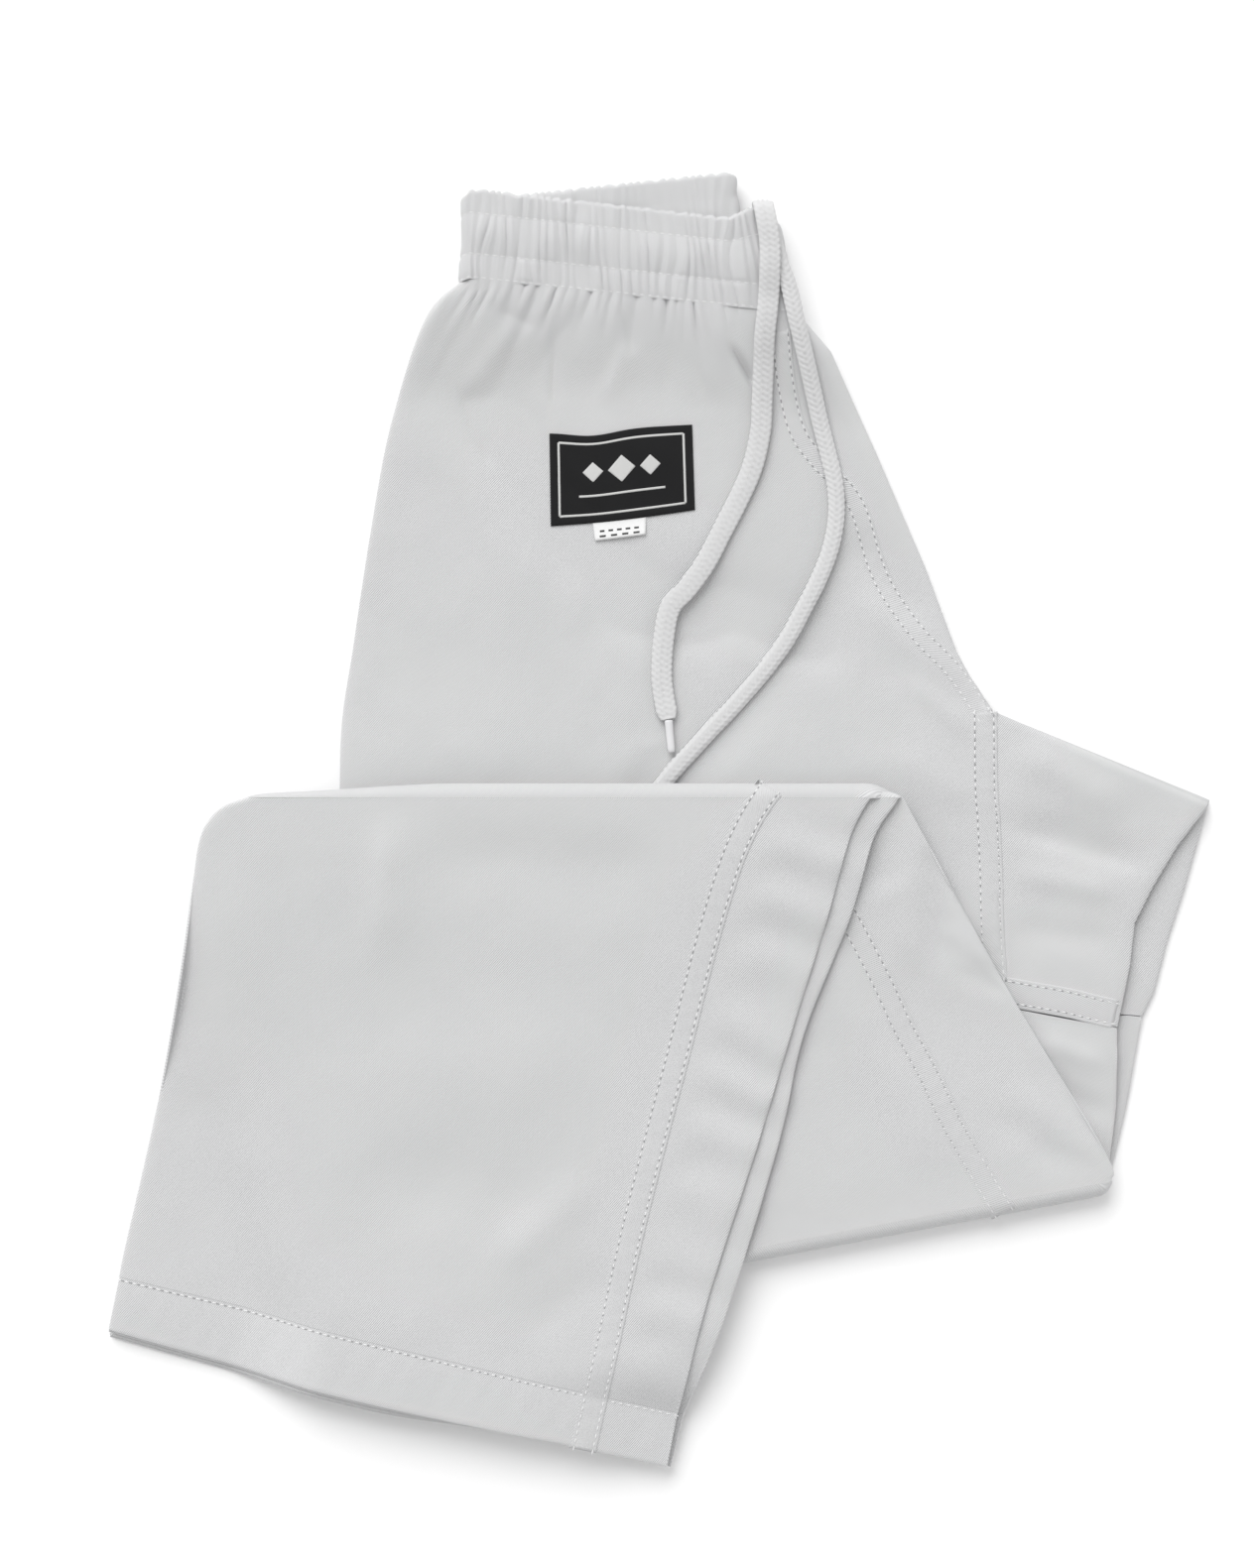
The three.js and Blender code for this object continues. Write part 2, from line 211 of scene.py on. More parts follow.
def mottled(name, dark, light, scale, roughness):
    """A plain material whose tone drifts between two colours."""
    material, nodes, links, shader = new_material(name)
    tone = nodes.new("ShaderNodeTexNoise")
    tone.inputs["Scale"].default_value = scale
    mix = nodes.new("ShaderNodeMix")
    mix.data_type = "RGBA"
    dial(mix, {"A": (*dark, 1), "B": (*light, 1)})
    links.new(tone.outputs["Fac"], mix.inputs["Factor"])
    links.new(mix.outputs["Result"], shader.inputs["Base Color"])
    shader.inputs["Roughness"].default_value = roughness
    return material


def cloth_grain_group():
    """Diagonal twill lines and slubs from a cloth's own UV map, in metres.

    Gives a height for the bump and a mask for the tint."""
    group = bpy.data.node_groups.new("cloth_grain", "ShaderNodeTree")
    face = group.interface
    for socket, value in (("Pitch", 1000.0), ("Slant", 0.8), ("Slub", 1.0)):
        face.new_socket(name=socket, in_out="INPUT", socket_type="NodeSocketFloat").default_value = value
    for socket in ("Height", "Tint"):
        face.new_socket(name=socket, in_out="OUTPUT", socket_type="NodeSocketFloat")
    nodes, links = group.nodes, group.links
    ins, outs = nodes.new("NodeGroupInput"), nodes.new("NodeGroupOutput")
    uv = nodes.new("ShaderNodeUVMap")
    uv.uv_map = "cloth"
    turn = nodes.new("ShaderNodeVectorRotate")
    turn.rotation_type = "Z_AXIS"
    lines = nodes.new("ShaderNodeTexWave")
    lines.wave_profile = "SIN"
    dial(lines, {"Distortion": 1.2, "Detail": 2.0, "Detail Scale": 0.6})
    slubs = nodes.new("ShaderNodeTexNoise")
    dial(slubs, {"Scale": 2600.0, "Detail": 3.0})
    clouds = nodes.new("ShaderNodeTexNoise")
    dial(clouds, {"Scale": 38.0, "Detail": 4.0})
    mixed = nodes.new("ShaderNodeMath")
    mixed.operation = "MULTIPLY_ADD"
    links.new(uv.outputs[0], turn.inputs["Vector"])
    links.new(ins.outputs["Slant"], turn.inputs["Angle"])
    links.new(turn.outputs[0], lines.inputs["Vector"])
    links.new(ins.outputs["Pitch"], lines.inputs["Scale"])
    links.new(uv.outputs[0], slubs.inputs["Vector"])
    links.new(uv.outputs[0], clouds.inputs["Vector"])
    links.new(slubs.outputs["Fac"], mixed.inputs[0])
    links.new(ins.outputs["Slub"], mixed.inputs[1])
    links.new(lines.outputs["Fac"], mixed.inputs[2])
    links.new(mixed.outputs[0], outs.inputs["Height"])
    links.new(clouds.outputs["Fac"], outs.inputs["Tint"])
    return group


cloth_grain = cloth_grain_group()


def cotton(name, dark, light, pitch, slant, slub, depth, roughness=0.92, sheen=0.18):
    """White cotton: its grain raised by a bump, its tone drifting a little over the cloth."""
    material, nodes, links, shader = new_material(name)
    grain = nodes.new("ShaderNodeGroup")
    grain.node_tree = cloth_grain
    dial(grain, {"Pitch": pitch, "Slant": slant, "Slub": slub})
    tone = nodes.new("ShaderNodeMix")
    tone.data_type = "RGBA"
    dial(tone, {"A": (*dark, 1), "B": (*light, 1)})
    bump = nodes.new("ShaderNodeBump")
    dial(bump, {"Strength": depth, "Distance": 0.00025})
    links.new(grain.outputs["Tint"], tone.inputs["Factor"])
    links.new(tone.outputs["Result"], shader.inputs["Base Color"])
    links.new(grain.outputs["Height"], bump.inputs["Height"])
    links.new(bump.outputs["Normal"], shader.inputs["Normal"])
    dial(shader, {
        "Roughness": roughness,
        "Sheen Weight": sheen,
        "Sheen Roughness": 0.5,
        "Specular IOR Level": 0.2,
    })
    return material


cord_cotton = cotton("cord_cotton", (0.63, 0.63, 0.635), (0.68, 0.68, 0.68), 900, 0.6, 0.6, 0.35)
film, film_nodes, film_links, film_shader = new_material("aglet_film")
film_noise = film_nodes.new("ShaderNodeTexNoise")
film_noise.inputs["Scale"].default_value = 900.0
film_ramp = film_nodes.new("ShaderNodeMapRange")
dial(film_ramp, {"To Min": 0.12, "To Max": 0.3})
film_links.new(film_noise.outputs["Fac"], film_ramp.inputs["Value"])
film_links.new(film_ramp.outputs["Result"], film_shader.inputs["Roughness"])
dial(film_shader, {"Base Color": (0.72, 0.72, 0.73, 1), "Coat Weight": 0.6})


def aglet(name, start, towards):
    """A turn of clear film shrunk on the cord's end: a tube with a lapped edge and a crimped tip."""
    start = np.array(start, dtype=float)
    direction = unit(np.array([towards[0], towards[1], start[2]]) - start)
    side = unit(np.cross([0, 0, 1], direction))
    over = np.cross(direction, side)
    stations = [(0.3, 1.55), (0.5, 1.72), (1.2, AGLET_RADIUS), (3, 1.66), (8, 1.62), (12, 1.6)]
    stations += [(13.4, 1.5), (14, 1.0)]
    around = np.linspace(0, 2 * math.pi, 24, endpoint=False)
    rings = []
    for length, radius in stations:
        lap = radius * (1 + 0.05 * (around > 5.2))
        flat = 0.82 if length > 2 else 0.95
        ring = start + direction * length + np.outer(np.cos(around) * lap * flat, over)
        rings.append(ring + np.outer(np.sin(around) * lap, side))
    piece = make_object(name + "_film", np.vstack(rings), closed_tube(rings))
    piece.data.materials.append(film)
    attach(piece, "hips")
    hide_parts(name)
    return piece


LEFT_TIP = (5, 28.4)
RIGHT_TIP = (-9.6, 0)
cord_lines = []
for cord_name, route, width, cord_length, tip_name, tip in (
    ("drawcord_left_end", LEFT_ROUTE, LEFT_CORD_WIDTH, 0.258, "left_aglet", LEFT_TIP),
    ("drawcord_right_end", RIGHT_ROUTE, RIGHT_CORD_WIDTH, 0.294, "right_aglet", RIGHT_TIP),
):
    cord, cord_line = braid(cord_name + "_braid", route, width)
    cord.data.materials.append(cord_cotton)
    cord_lines.append(cord_line)
    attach(cord, "hips")
    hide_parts(cord_name)
    aglet(tip_name, route[-1], tip)

# ---- The folds ----
# Two legs, each a front and a back layer, are pressed flat in a stack and folded twice. A layer's
# level is its height in that stack: the left front lies lowest, the right front on top.

SHIN_FOLD_Y = 15.2
KNEE_FOLD_X = 35.4
KNEE_FOLD_Y = -187.3
KNEE_SLOPE = 0.1871
KNEE_CENTRE = 6.2
SHIN_CENTRE = 12.7
SHIN_LOFT = 3.7
LEVELS = {"left_front": 0.6, "left_back": 2.2, "right_back": 3.8, "right_front": 5.4}
AT_BAND = {"left_front": 0.6, "left_back": 5.2, "right_back": 8.8, "right_front": 12.9}
STACK_TOP = 6.0
CLOTH = 0.8
BAND_LEFT = -80.0
BAND_HEIGHT = 38.0
FLARE = 0.06


def knee_fold_y(x):
    return KNEE_FOLD_Y + KNEE_SLOPE * (x - KNEE_FOLD_X)


def front_top(x):
    return 264.8 - 0.1126 * (x - BAND_LEFT)


def back_top(x):
    return 260.37 + 0.108 * (x - BAND_LEFT)


def band_bottom(x, top):
    return top((x + FLARE * BAND_LEFT) / (1 + FLARE)) - BAND_HEIGHT


def fold_loft(y):
    return SHIN_LOFT * (1 - smooth(25, 115, SHIN_FOLD_Y - y))


MIDDLE_LEFT = [(-123.6, -216), (-190, 14.2)]


def droop(x, y):
    """How far the top stack has sunk towards the table, past the edges of the stack under it."""
    (x0, y0), (x1, y1) = MIDDLE_LEFT
    length = math.hypot(x1 - x0, y1 - y0)
    past_left = ((y - y0) * (x1 - x0) - (x - x0) * (y1 - y0)) / length
    past_fold = (knee_fold_y(x) - y) * math.cos(math.atan(KNEE_SLOPE))
    return np.maximum(smooth(12, 50, past_left), smooth(26, 76, past_fold))


def ridge(x, y, start, end, width, height, one_sided=0.0):
    """A soft crease along a line: a rise of that height, or a hollow where it is negative."""
    (x0, y0), (x1, y1) = start, end
    length = math.hypot(x1 - x0, y1 - y0)
    along = ((x - x0) * (x1 - x0) + (y - y0) * (y1 - y0)) / length
    across = ((y - y0) * (x1 - x0) - (x - x0) * (y1 - y0)) / length
    spread = width * np.where(across > 0, 1 + one_sided, 1 - one_sided)
    ends = smooth(-0.1 * length, 0.3 * length, along) * (1 - smooth(0.7 * length, 1.1 * length, along))
    return height * np.exp(-((across / spread) ** 2)) * ends


def crumple(x, y, size, seed):
    """Smooth noise, from -1 to 1, the same every run."""
    flat = np.stack([np.ravel(x) / size, np.ravel(y) / size], axis=1)
    values = [noise.noise(Vector((a, b, seed))) for a, b in flat]
    return np.reshape(values, np.shape(x))


def near_cord(x, y):
    """1 beside a drawcord, 0 away from it."""
    points = np.stack([np.ravel(x), np.ravel(y)], axis=1)
    best = np.full(len(points), 1e9)
    for line in cord_lines:
        for p in line[::6]:
            best = np.minimum(best, np.hypot(points[:, 0] - p[0], points[:, 1] - p[1]))
    return np.reshape(1 - smooth(6, 20, best), np.shape(x))


# Each crease: start, end, width, height, and how far it leans to one side.
THIGH_CREASES = [
    ((-86, 186), (-20, 92), 15, -3.4, 0.25),
    ((-30, 93), (30, 78), 17, -3.0, 0.3),
    ((18, 92), (80, 66), 15, -2.6, 0.3),
    ((-92, 172), (-40, 78), 16, 1.6, 0.0),
    ((29, 200), (40, 182), 1.7, -3.0, 0.4),
    ((14, 219), (36, 194), 4.5, 1.5, 0.0),
    ((10, 215), (23, 177), 3.4, 1.1, 0.5),
    ((-15, 218), (-12, 196), 2.0, -1.6, 0.4),
    ((-12, 204), (-24, 176), 4.5, 1.2, 0.4),
    ((-58, 214), (-84, 176), 5.5, 1.3, 0.2),
    ((-80, 219), (-50, 206), 2.4, -2.0, 0.4),
    ((-84, 182), (-72, 150), 3.8, -1.7, 0.5),
    ((-44, 216), (-46, 168), 2.2, -0.8, 0.3),
    ((48, 178), (84, 128), 5.0, 1.0, 0.3),
    ((54, 186), (66, 150), 2.6, -1.2, 0.0),
    ((80, 120), (112, 82), 9, -1.3, 0.0),
    ((86, 96), (124, 56), 7, 1.3, 0.0),
    ((104, 60), (134, 34), 5, 1.0, 0.0),
    ((96, 30), (134, 6), 8, 0.9, 0.0),
    ((150, 30), (196, 4), 8, 1.6, 0.0),
    ((146, -2), (206, -20), 7, -2.3, 0.3),
    ((150, -22), (196, -32), 6, 1.5, 0.0),
    ((148, -46), (192, -52), 6, -0.9, 0.0),
    ((160, -92), (188, -104), 5, 1.3, 0.0),
    ((160, -108), (190, -126), 5, -1.2, 0.0),
]


def thigh_swell(x, y):
    """The soft rise and fall of the upper layers."""
    swell = 1.9 * (1 - smooth(20, 78, y)) * smooth(-175, -120, y)
    for start, end, width, height, lean in THIGH_CREASES:
        swell = swell + ridge(x, y, start, end, width, height, lean)
    swell = swell + 0.9 * crumple(x, y, 42, 1.5) + 0.25 * crumple(x, y, 14, 4.5)
    return 1.25 * np.where(swell > 0, swell * (1 - 0.85 * near_cord(x, y)), swell)


KNEE_CREASES = [
    ((112, -6), (118, -62), 5, -1.8, 0.3),
    ((100, -12), (106, -64), 6, 1.3, 0.0),
    ((84, -6), (96, -30), 9, -1.6, 0.0),
    ((118, -44), (140, -62), 3, 1.0, 0.3),
    ((126, -62), (146, -74), 3, -0.9, 0.0),
    ((150, -112), (186, -146), 5, 1.0, 0.0),
    ((140, -122), (176, -150), 5, -0.9, 0.0),
    ((160, -100), (188, -140), 4, -0.8, 0.0),
    ((70, -60), (120, -150), 14, 1.3, 0.0),
]
SHIN_CREASES = [
    ((-112, 12), (-118, -60), 10, 1.5, 0.4),
    ((-108, -10), (10, -22), 20, -1.9, 0.0),
    ((-180, -20), (-196, -120), 24, 1.7, 0.0),
    ((-120, -110), (-30, -95), 24, 1.8, 0.0),
    ((-130, -150), (-40, -160), 20, -1.6, 0.0),
    ((-70, -190), (-30, -150), 9, 1.1, 0.0),
    ((-150, -200), (-90, -216), 16, 0.9, 0.0),
    ((-60, -215), (-20, -190), 10, -0.8, 0.0),
]


def middle_swell(x, y):
    swell = 0.0
    for start, end, width, height, lean in KNEE_CREASES:
        swell = swell + ridge(x, y, start, end, width, height, lean)
    return 1.3 * swell + 0.8 * crumple(x, y, 38, 7.5) + 0.22 * crumple(x, y, 13, 9.5)


def shin_seam_x(y):
    """The inseam's line down the folded shin."""
    return np.interp(y, [-259, -212, -150, -90, -34, 0, 14], [-26, -18, -1, 14, 30, 41, 47])


def shin_swell(x, y):
    swell = 0.0
    for start, end, width, height, lean in SHIN_CREASES:
        swell = swell + ridge(x, y, start, end, width, height, lean)
    past_seam = smooth(2, 16, x - shin_seam_x(y))
    puckers = np.sin((y + 0.35 * x) * 2 * math.pi / 27 + 2.2 * crumple(x, y, 60, 3.5))
    swell = swell + 0.9 * past_seam * puckers * (0.6 + 0.6 * crumple(x, y, 45, 8.5))
    return 1.3 * swell + 0.7 * crumple(x, y, 55, 12.5) + 0.2 * crumple(x, y, 16, 14.5)


def pleat(phase):
    """Round ridges with sharp valleys between, from 0 to 1, one for each whole phase."""
    return np.abs(np.sin(math.pi * phase)) ** 0.6


def gathers(x, below):
    """Pleats that run down out of the waistband, many at its edge and fewer further down."""
    share = (x - BAND_LEFT + below * 0.55) / (128 + below * 0.9)
    drift = 0.8 * crumple(share * 90, below * 0.12, 14, 2.5)
    fine = (pleat(share * 27 + drift) - 0.5) * 1.3 * np.exp(-((below / 8) ** 2))
    mid = (pleat(share * 12 + 1.6 * drift) - 0.5) * 1.5 * np.exp(-(((below - 5) / 12) ** 2))
    wide = (pleat(share * 5.5 + 0.7 + drift) - 0.5) * 1.15 * np.exp(-(((below - 18) / 22) ** 2))
    return fine + mid + wide


def on_table(layer):
    """The lowest that a layer can lie, on the layers under it."""
    return 0.45 + 0.62 * (LEVELS[layer] - 0.6)


def thigh_height(x, y, layer):
    below = np.minimum(band_bottom(x, front_top), band_bottom(x, back_top)) - y
    flat = LEVELS[layer]
    level = AT_BAND[layer] + (flat - AT_BAND[layer]) * smooth(0, 45, below)
    share = flat / STACK_TOP
    rise = thigh_swell(x, y) * smooth(0, 30, below) * smooth(2, 26, y - knee_fold_y(x))
    if layer == "right_front":
        rise = rise + gathers(x, np.maximum(below, 0)) * (1 - 0.75 * near_cord(x, y))
    return np.maximum(level + share * np.maximum(rise, -4.0), on_table(layer))


def middle_height(x, y, layer):
    share = (STACK_TOP - LEVELS[layer] + STACK_TOP) / (2 * STACK_TOP)
    calm = smooth(2, 26, y - knee_fold_y(x)) * smooth(4, 34, SHIN_FOLD_Y - y)
    return 2 * KNEE_CENTRE - LEVELS[layer] + fold_loft(y) + share * middle_swell(x, y) * calm


def shin_height(x, y, layer):
    resting = 2 * (SHIN_CENTRE - KNEE_CENTRE) + LEVELS[layer] + fold_loft(y)
    sunk = droop(x, y)
    calm = smooth(4, 34, SHIN_FOLD_Y - y)
    own = 0.45 + 0.55 * LEVELS[layer] / STACK_TOP
    swell = own * (shin_swell(x, y) + 0.6 * middle_swell(x, y) * (x > 40)) * calm
    if layer.startswith("left"):
        resting = resting + 0.7 * smooth(0, 30, x - shin_seam_x(y)) * calm
    height = resting * (1 - sunk) + (0.4 + LEVELS[layer]) * sunk + np.maximum(swell, -1.5 - 5 * (1 - sunk))
    return np.maximum(height, on_table(layer))


# ---- Cloth layers ----
# Each leg's front and back are cut from one piece of bleached twill, 0.8 mm thick. Where two
# layers meet at a side fold their edges curl together; at a seam they lie edge to edge.

twill = cotton("bleached_twill", (0.628, 0.63, 0.636), (0.655, 0.656, 0.66), 430, 0.72, 0.7, 0.85)
EDGE_STEPS = np.array([0, 0.3, 0.9, 1.9, 3.2, 5.0])


def row_gaps(left, right, step):
    """Parameters along two outlines so that rows lie about a step apart."""
    left, right = np.asarray(left, float), np.asarray(right, float)
    gaps = np.maximum(*(np.linalg.norm(np.diff(side, axis=0), axis=1) for side in (left, right)))
    t = [0.0]
    for i, gap in enumerate(gaps):
        count = max(2, int(round(gap / step)))
        t += [i + (k + 1) / count for k in range(count)]
    return np.array(t)


def straight(points, t):
    p = np.asarray(points, dtype=float)
    knots = np.arange(len(p))
    return np.stack([np.interp(t, knots, p[:, k]) for k in range(2)], axis=1)


def rows_between(left, right, columns, step, round_left=True, round_right=False):
    """A grid of places across the cloth, closer together at its two side edges."""
    t = row_gaps(left, right, step)
    a = spline(left, t) if round_left else straight(left, t)
    b = spline(right, t) if round_right else straight(right, t)
    width = np.linalg.norm(b - a, axis=1)
    inner = np.linspace(0, 1, columns + 2)[1:-1]
    rows = []
    for start, end, span in zip(a, b, width):
        edge = EDGE_STEPS * min(1.0, span / 30)
        places = np.r_[edge / span, (edge[-1] + inner * (span - 2 * edge[-1])) / span, 1 - edge[::-1] / span]
        rows.append(start + places[:, None] * (end - start))
    return np.array(rows), t


def curl(levels, side, towards, strength=1.0):
    """Bends the edge columns of a layer to a partner's level, in a quarter round."""
    steps = len(EDGE_STEPS)
    for k in range(steps):
        column = k if side == "left" else -1 - k
        from_edge = EDGE_STEPS[k] / EDGE_STEPS[-1]
        keep = math.sqrt(max(0.0, 1 - (1 - from_edge) ** 2))
        pulled = towards + (levels[:, column] - towards) * keep
        levels[:, column] += (pulled - levels[:, column]) * strength
    return levels


def grid_faces(rows, columns):
    return [
        (i * columns + k, i * columns + k + 1, (i + 1) * columns + k + 1, (i + 1) * columns + k)
        for i in range(rows - 1)
        for k in range(columns - 1)
    ]


def cloth_layer(name, points, outward_up=True, thick=CLOTH, lies_flat=True):
    """A layer of cloth round a grid of points, given its thickness by Solidify."""
    rows, columns = points.shape[:2]
    flat = points.reshape(-1, 3)
    uvs = flat[:, :2] * MM
    if not lies_flat:
        across, down = np.zeros((rows, columns)), np.zeros((rows, columns))
        across[:, 1:] = np.cumsum(np.linalg.norm(np.diff(points, axis=1), axis=2), axis=1)
        down[1:] = np.cumsum(np.linalg.norm(np.diff(points, axis=0), axis=2), axis=0)
        uvs = np.stack([points[0, 0, 0] + across.ravel(), points[0, 0, 1] - down.ravel()], axis=1) * MM
    faces = grid_faces(rows, columns)
    if outward_up:
        faces = [tuple(reversed(f)) for f in faces]
    piece = make_object(name, flat, faces, uvs)
    solid = piece.modifiers.new("thickness", "SOLIDIFY")
    solid.thickness = thick * MM
    solid.offset = 0.0
    solid.use_even_offset = False
    evaluated = piece.evaluated_get(bpy.context.evaluated_depsgraph_get())
    finished = bpy.data.meshes.new_from_object(evaluated)
    piece.modifiers.clear()
    finished.set_sharp_from_angle(angle=math.radians(55))
    piece.data = finished
    piece.data.materials.clear()
    piece.data.materials.append(twill)
    return piece


def lay(name, grid, heights, body, node):
    """Puts heights on a grid of places and makes the layer ride on its body.

    Its cut size is that of the CAD node's upper face."""
    points = np.dstack([grid, heights])
    piece = cloth_layer(name, points)
    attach(piece, body)
    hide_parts(node)


HIP_SIDE = [
    (-98, 211), (-113, 167), (-122, 119), (-129, 73), (-134, 36), (-134, -20), (-130.5, -74), (-130, -84),
]
RISE = [(72, 197), (91, 155), (112, 106), (125, 71), (138, 47)]
INSEAM = [(141.5, -20), (144, -70), (149, -79.7)]
BELOW_GUSSET = {
    "right": [(192.5, -88), (192.2, -121)],
    "left": [(203.5, -83.5), (197, -121)],
}
KNEE_END = {"right": 189.5, "left": 191.0}
FOLD_INSET = 6.2


def knee_point(x, inset):
    """A point that far back from the knee fold, along the cloth."""
    slope = math.hypot(1, KNEE_SLOPE)
    return (x - inset * KNEE_SLOPE / slope, knee_fold_y(x) + inset / slope)


def thigh_outline(side, face):
    band_right = 57.8 if face == "front" else 35.2
    top = front_top if face == "front" else back_top
    left = [(BAND_LEFT - 1, band_bottom(BAND_LEFT - 1, top) + 1)] + HIP_SIDE
    left += [(-129.6, -92), (-127, -150), knee_point(-123.3, FOLD_INSET)]
    right = [(band_right, band_bottom(band_right, top) + 1)] + RISE + INSEAM + BELOW_GUSSET[side]
    right += [knee_point(KNEE_END[side], FOLD_INSET)]
    return left, right


FINE = {"right_front": (150, 1.9), "right_back": (44, 5.0), "left_back": (44, 5.0), "left_front": (60, 4.0)}
grids = {}
for layer in LEVELS:
    side, face = layer.split("_")
    columns, step = FINE[layer]
    left, right = thigh_outline(side, face)
    grid, t = rows_between(left, right, columns, step)
    heights = thigh_height(grid[..., 0], grid[..., 1], layer)
    partner = (LEVELS[f"{side}_front"] + LEVELS[f"{side}_back"]) / 2
    at_band = (AT_BAND[f"{side}_front"] + AT_BAND[f"{side}_back"]) / 2
    near_band = 1 - smooth(0, 45, front_top(grid[:, 0, 0]) - BAND_HEIGHT - grid[:, 0, 1])
    own = LEVELS[layer] + (AT_BAND[layer] - LEVELS[layer]) * near_band
    inner = len(EDGE_STEPS)
    raised = (heights[:, [inner, -1 - inner]] - own[:, None]) / LEVELS[layer] * partner
    heights = curl(heights, "left", partner + (at_band - partner) * near_band + raised[:, 0])
    above_crotch = t < len(RISE)
    below_seam = smooth(len(RISE) + len(INSEAM) + 0.9, len(RISE) + len(INSEAM) + 1.2, t)
    hip_mid = np.where(above_crotch, 3.0 + 4.0 * near_band, partner + raised[:, 1])
    heights = curl(heights, "right", hip_mid, np.where(above_crotch, 1.0, below_seam))
    grids[layer] = (grid, heights)
    lay(f"{layer}_thigh_cloth", grid, heights, "hips", f"{layer}_thigh")


# ---- Gusset ----
# A diamond of the same twill let into each leg at the crotch, folded in half with the layers.

GUSSET_INNER = [(139, 46.2), (141.6, 8), (142.7, -22), (143.6, -40), (145, -69.6), (150, -79.2)]
GUSSET_OUTER = {
    "right": [(231.3, 6.6), (218, -11), (207.5, -28.5), (200, -43.5), (197.9, -61.5), (192.6, -87.3)],
    "left": [(232.2, 8.2), (226, -13), (221.5, -29), (214.2, -51.5), (208.7, -72.7), (203.7, -82.9)],
}
for layer, level in LEVELS.items():
    side, face = layer.split("_")
    columns, step = (40, 1.9) if layer == "right_front" else (20, 4.0)
    grid, t = rows_between(GUSSET_INNER, GUSSET_OUTER[side], columns, step, False, False)
    heights = thigh_height(grid[..., 0], grid[..., 1], layer)
    partner = (LEVELS[f"{side}_front"] + LEVELS[f"{side}_back"]) / 2
    raised = (heights[:, -1 - len(EDGE_STEPS)] / level - 1) * partner
    heights = curl(heights, "right", partner + raised)
    from_top = (t / t[2] * 1.2)[:, None]
    keep = np.sqrt(np.clip(1 - (1 - np.clip(from_top, 0, 1)) ** 2, 0, 1))
    top_edge = partner + raised[0]
    heights = top_edge + (heights - top_edge) * keep
    grids[layer + "_gusset"] = (grid, heights)
    lay(f"{layer}_gusset_cloth", grid, heights, "hips", f"{layer}_gusset")

# ---- Middle of the legs ----
# The second run of the Z, laid back on the thighs with the left front uppermost.

SHIN_INSET = 6.0
FOLD_ROW = SHIN_FOLD_Y - SHIN_INSET
for layer in LEVELS:
    side, face = layer.split("_")
    columns = FINE[layer][0]
    step = 1.9 if layer == "left_front" else 5.0
    left = [knee_point(-123.3, FOLD_INSET), (-126, -172), (-149, -90), (-171.5, FOLD_ROW)]
    right = [knee_point(KNEE_END[side], FOLD_INSET), (186.5, -139), (144, -68), (101.7, FOLD_ROW)]
    grid, t = rows_between(left, right, columns, step, False, True)
    heights = middle_height(grid[..., 0], grid[..., 1], layer)
    partner = 2 * KNEE_CENTRE - (LEVELS[f"{side}_front"] + LEVELS[f"{side}_back"]) / 2
    inner = len(EDGE_STEPS)
    shift = partner - (2 * KNEE_CENTRE - LEVELS[layer])
    heights = curl(heights, "left", heights[:, inner] + shift)
    heights = curl(heights, "right", heights[:, -1 - inner] + shift)
    grids[layer + "_middle"] = (grid, heights)
    lay(f"{layer}_knee_cloth", grid, heights, "knee", f"{layer}_knee")

# ---- Shins ----
# The last run of the Z: it lies on the folds, then droops over them to the table.

SHIN_LEFT = [
    (-172, FOLD_ROW), (-182.5, 5.2), (-189, -1.5), (-192.3, -9.8), (-194.4, -24), (-198.8, -55.6),
    (-205.8, -93),
    (-215.6, -138.9), (-225.2, -180.6), (-227.6, -192.8),
]
SHIN_RIGHT = {
    "right": [
        (87.6, FOLD_ROW), (85.2, 5.5), (82.2, 0), (79.4, -6.5), (77, -14), (69.4, -42), (56, -85), (41, -135),
        (20.4, -199), (7.3, -249.4),
    ],
    "left": [
        (99.5, FOLD_ROW), (97, 5), (93.5, 0.5), (90.4, -5), (87.4, -13), (79, -42), (60, -90.2), (50, -134),
        (28, -206), (10, -250.5),
    ],
}
for layer in LEVELS:
    side, face = layer.split("_")
    columns, step = FINE[layer]
    shin_left = [(x + (1.8 if side == "left" else 0.0), y) for x, y in SHIN_LEFT]
    grid, t = rows_between(shin_left, SHIN_RIGHT[side], columns, step, True, True)
    heights = shin_height(grid[..., 0], grid[..., 1], layer)
    pair = (LEVELS[f"{side}_front"] + LEVELS[f"{side}_back"]) / 2
    flat = heights[:, [len(EDGE_STEPS), -1 - len(EDGE_STEPS)]] - LEVELS[layer] + pair
    heights = curl(heights, "left", flat[:, 0])
    heights = curl(heights, "right", flat[:, 1])
    grids[layer + "_shin"] = (grid, heights)
    lay(f"{layer}_shin_cloth", grid, heights, "shin", f"{layer}_shin")
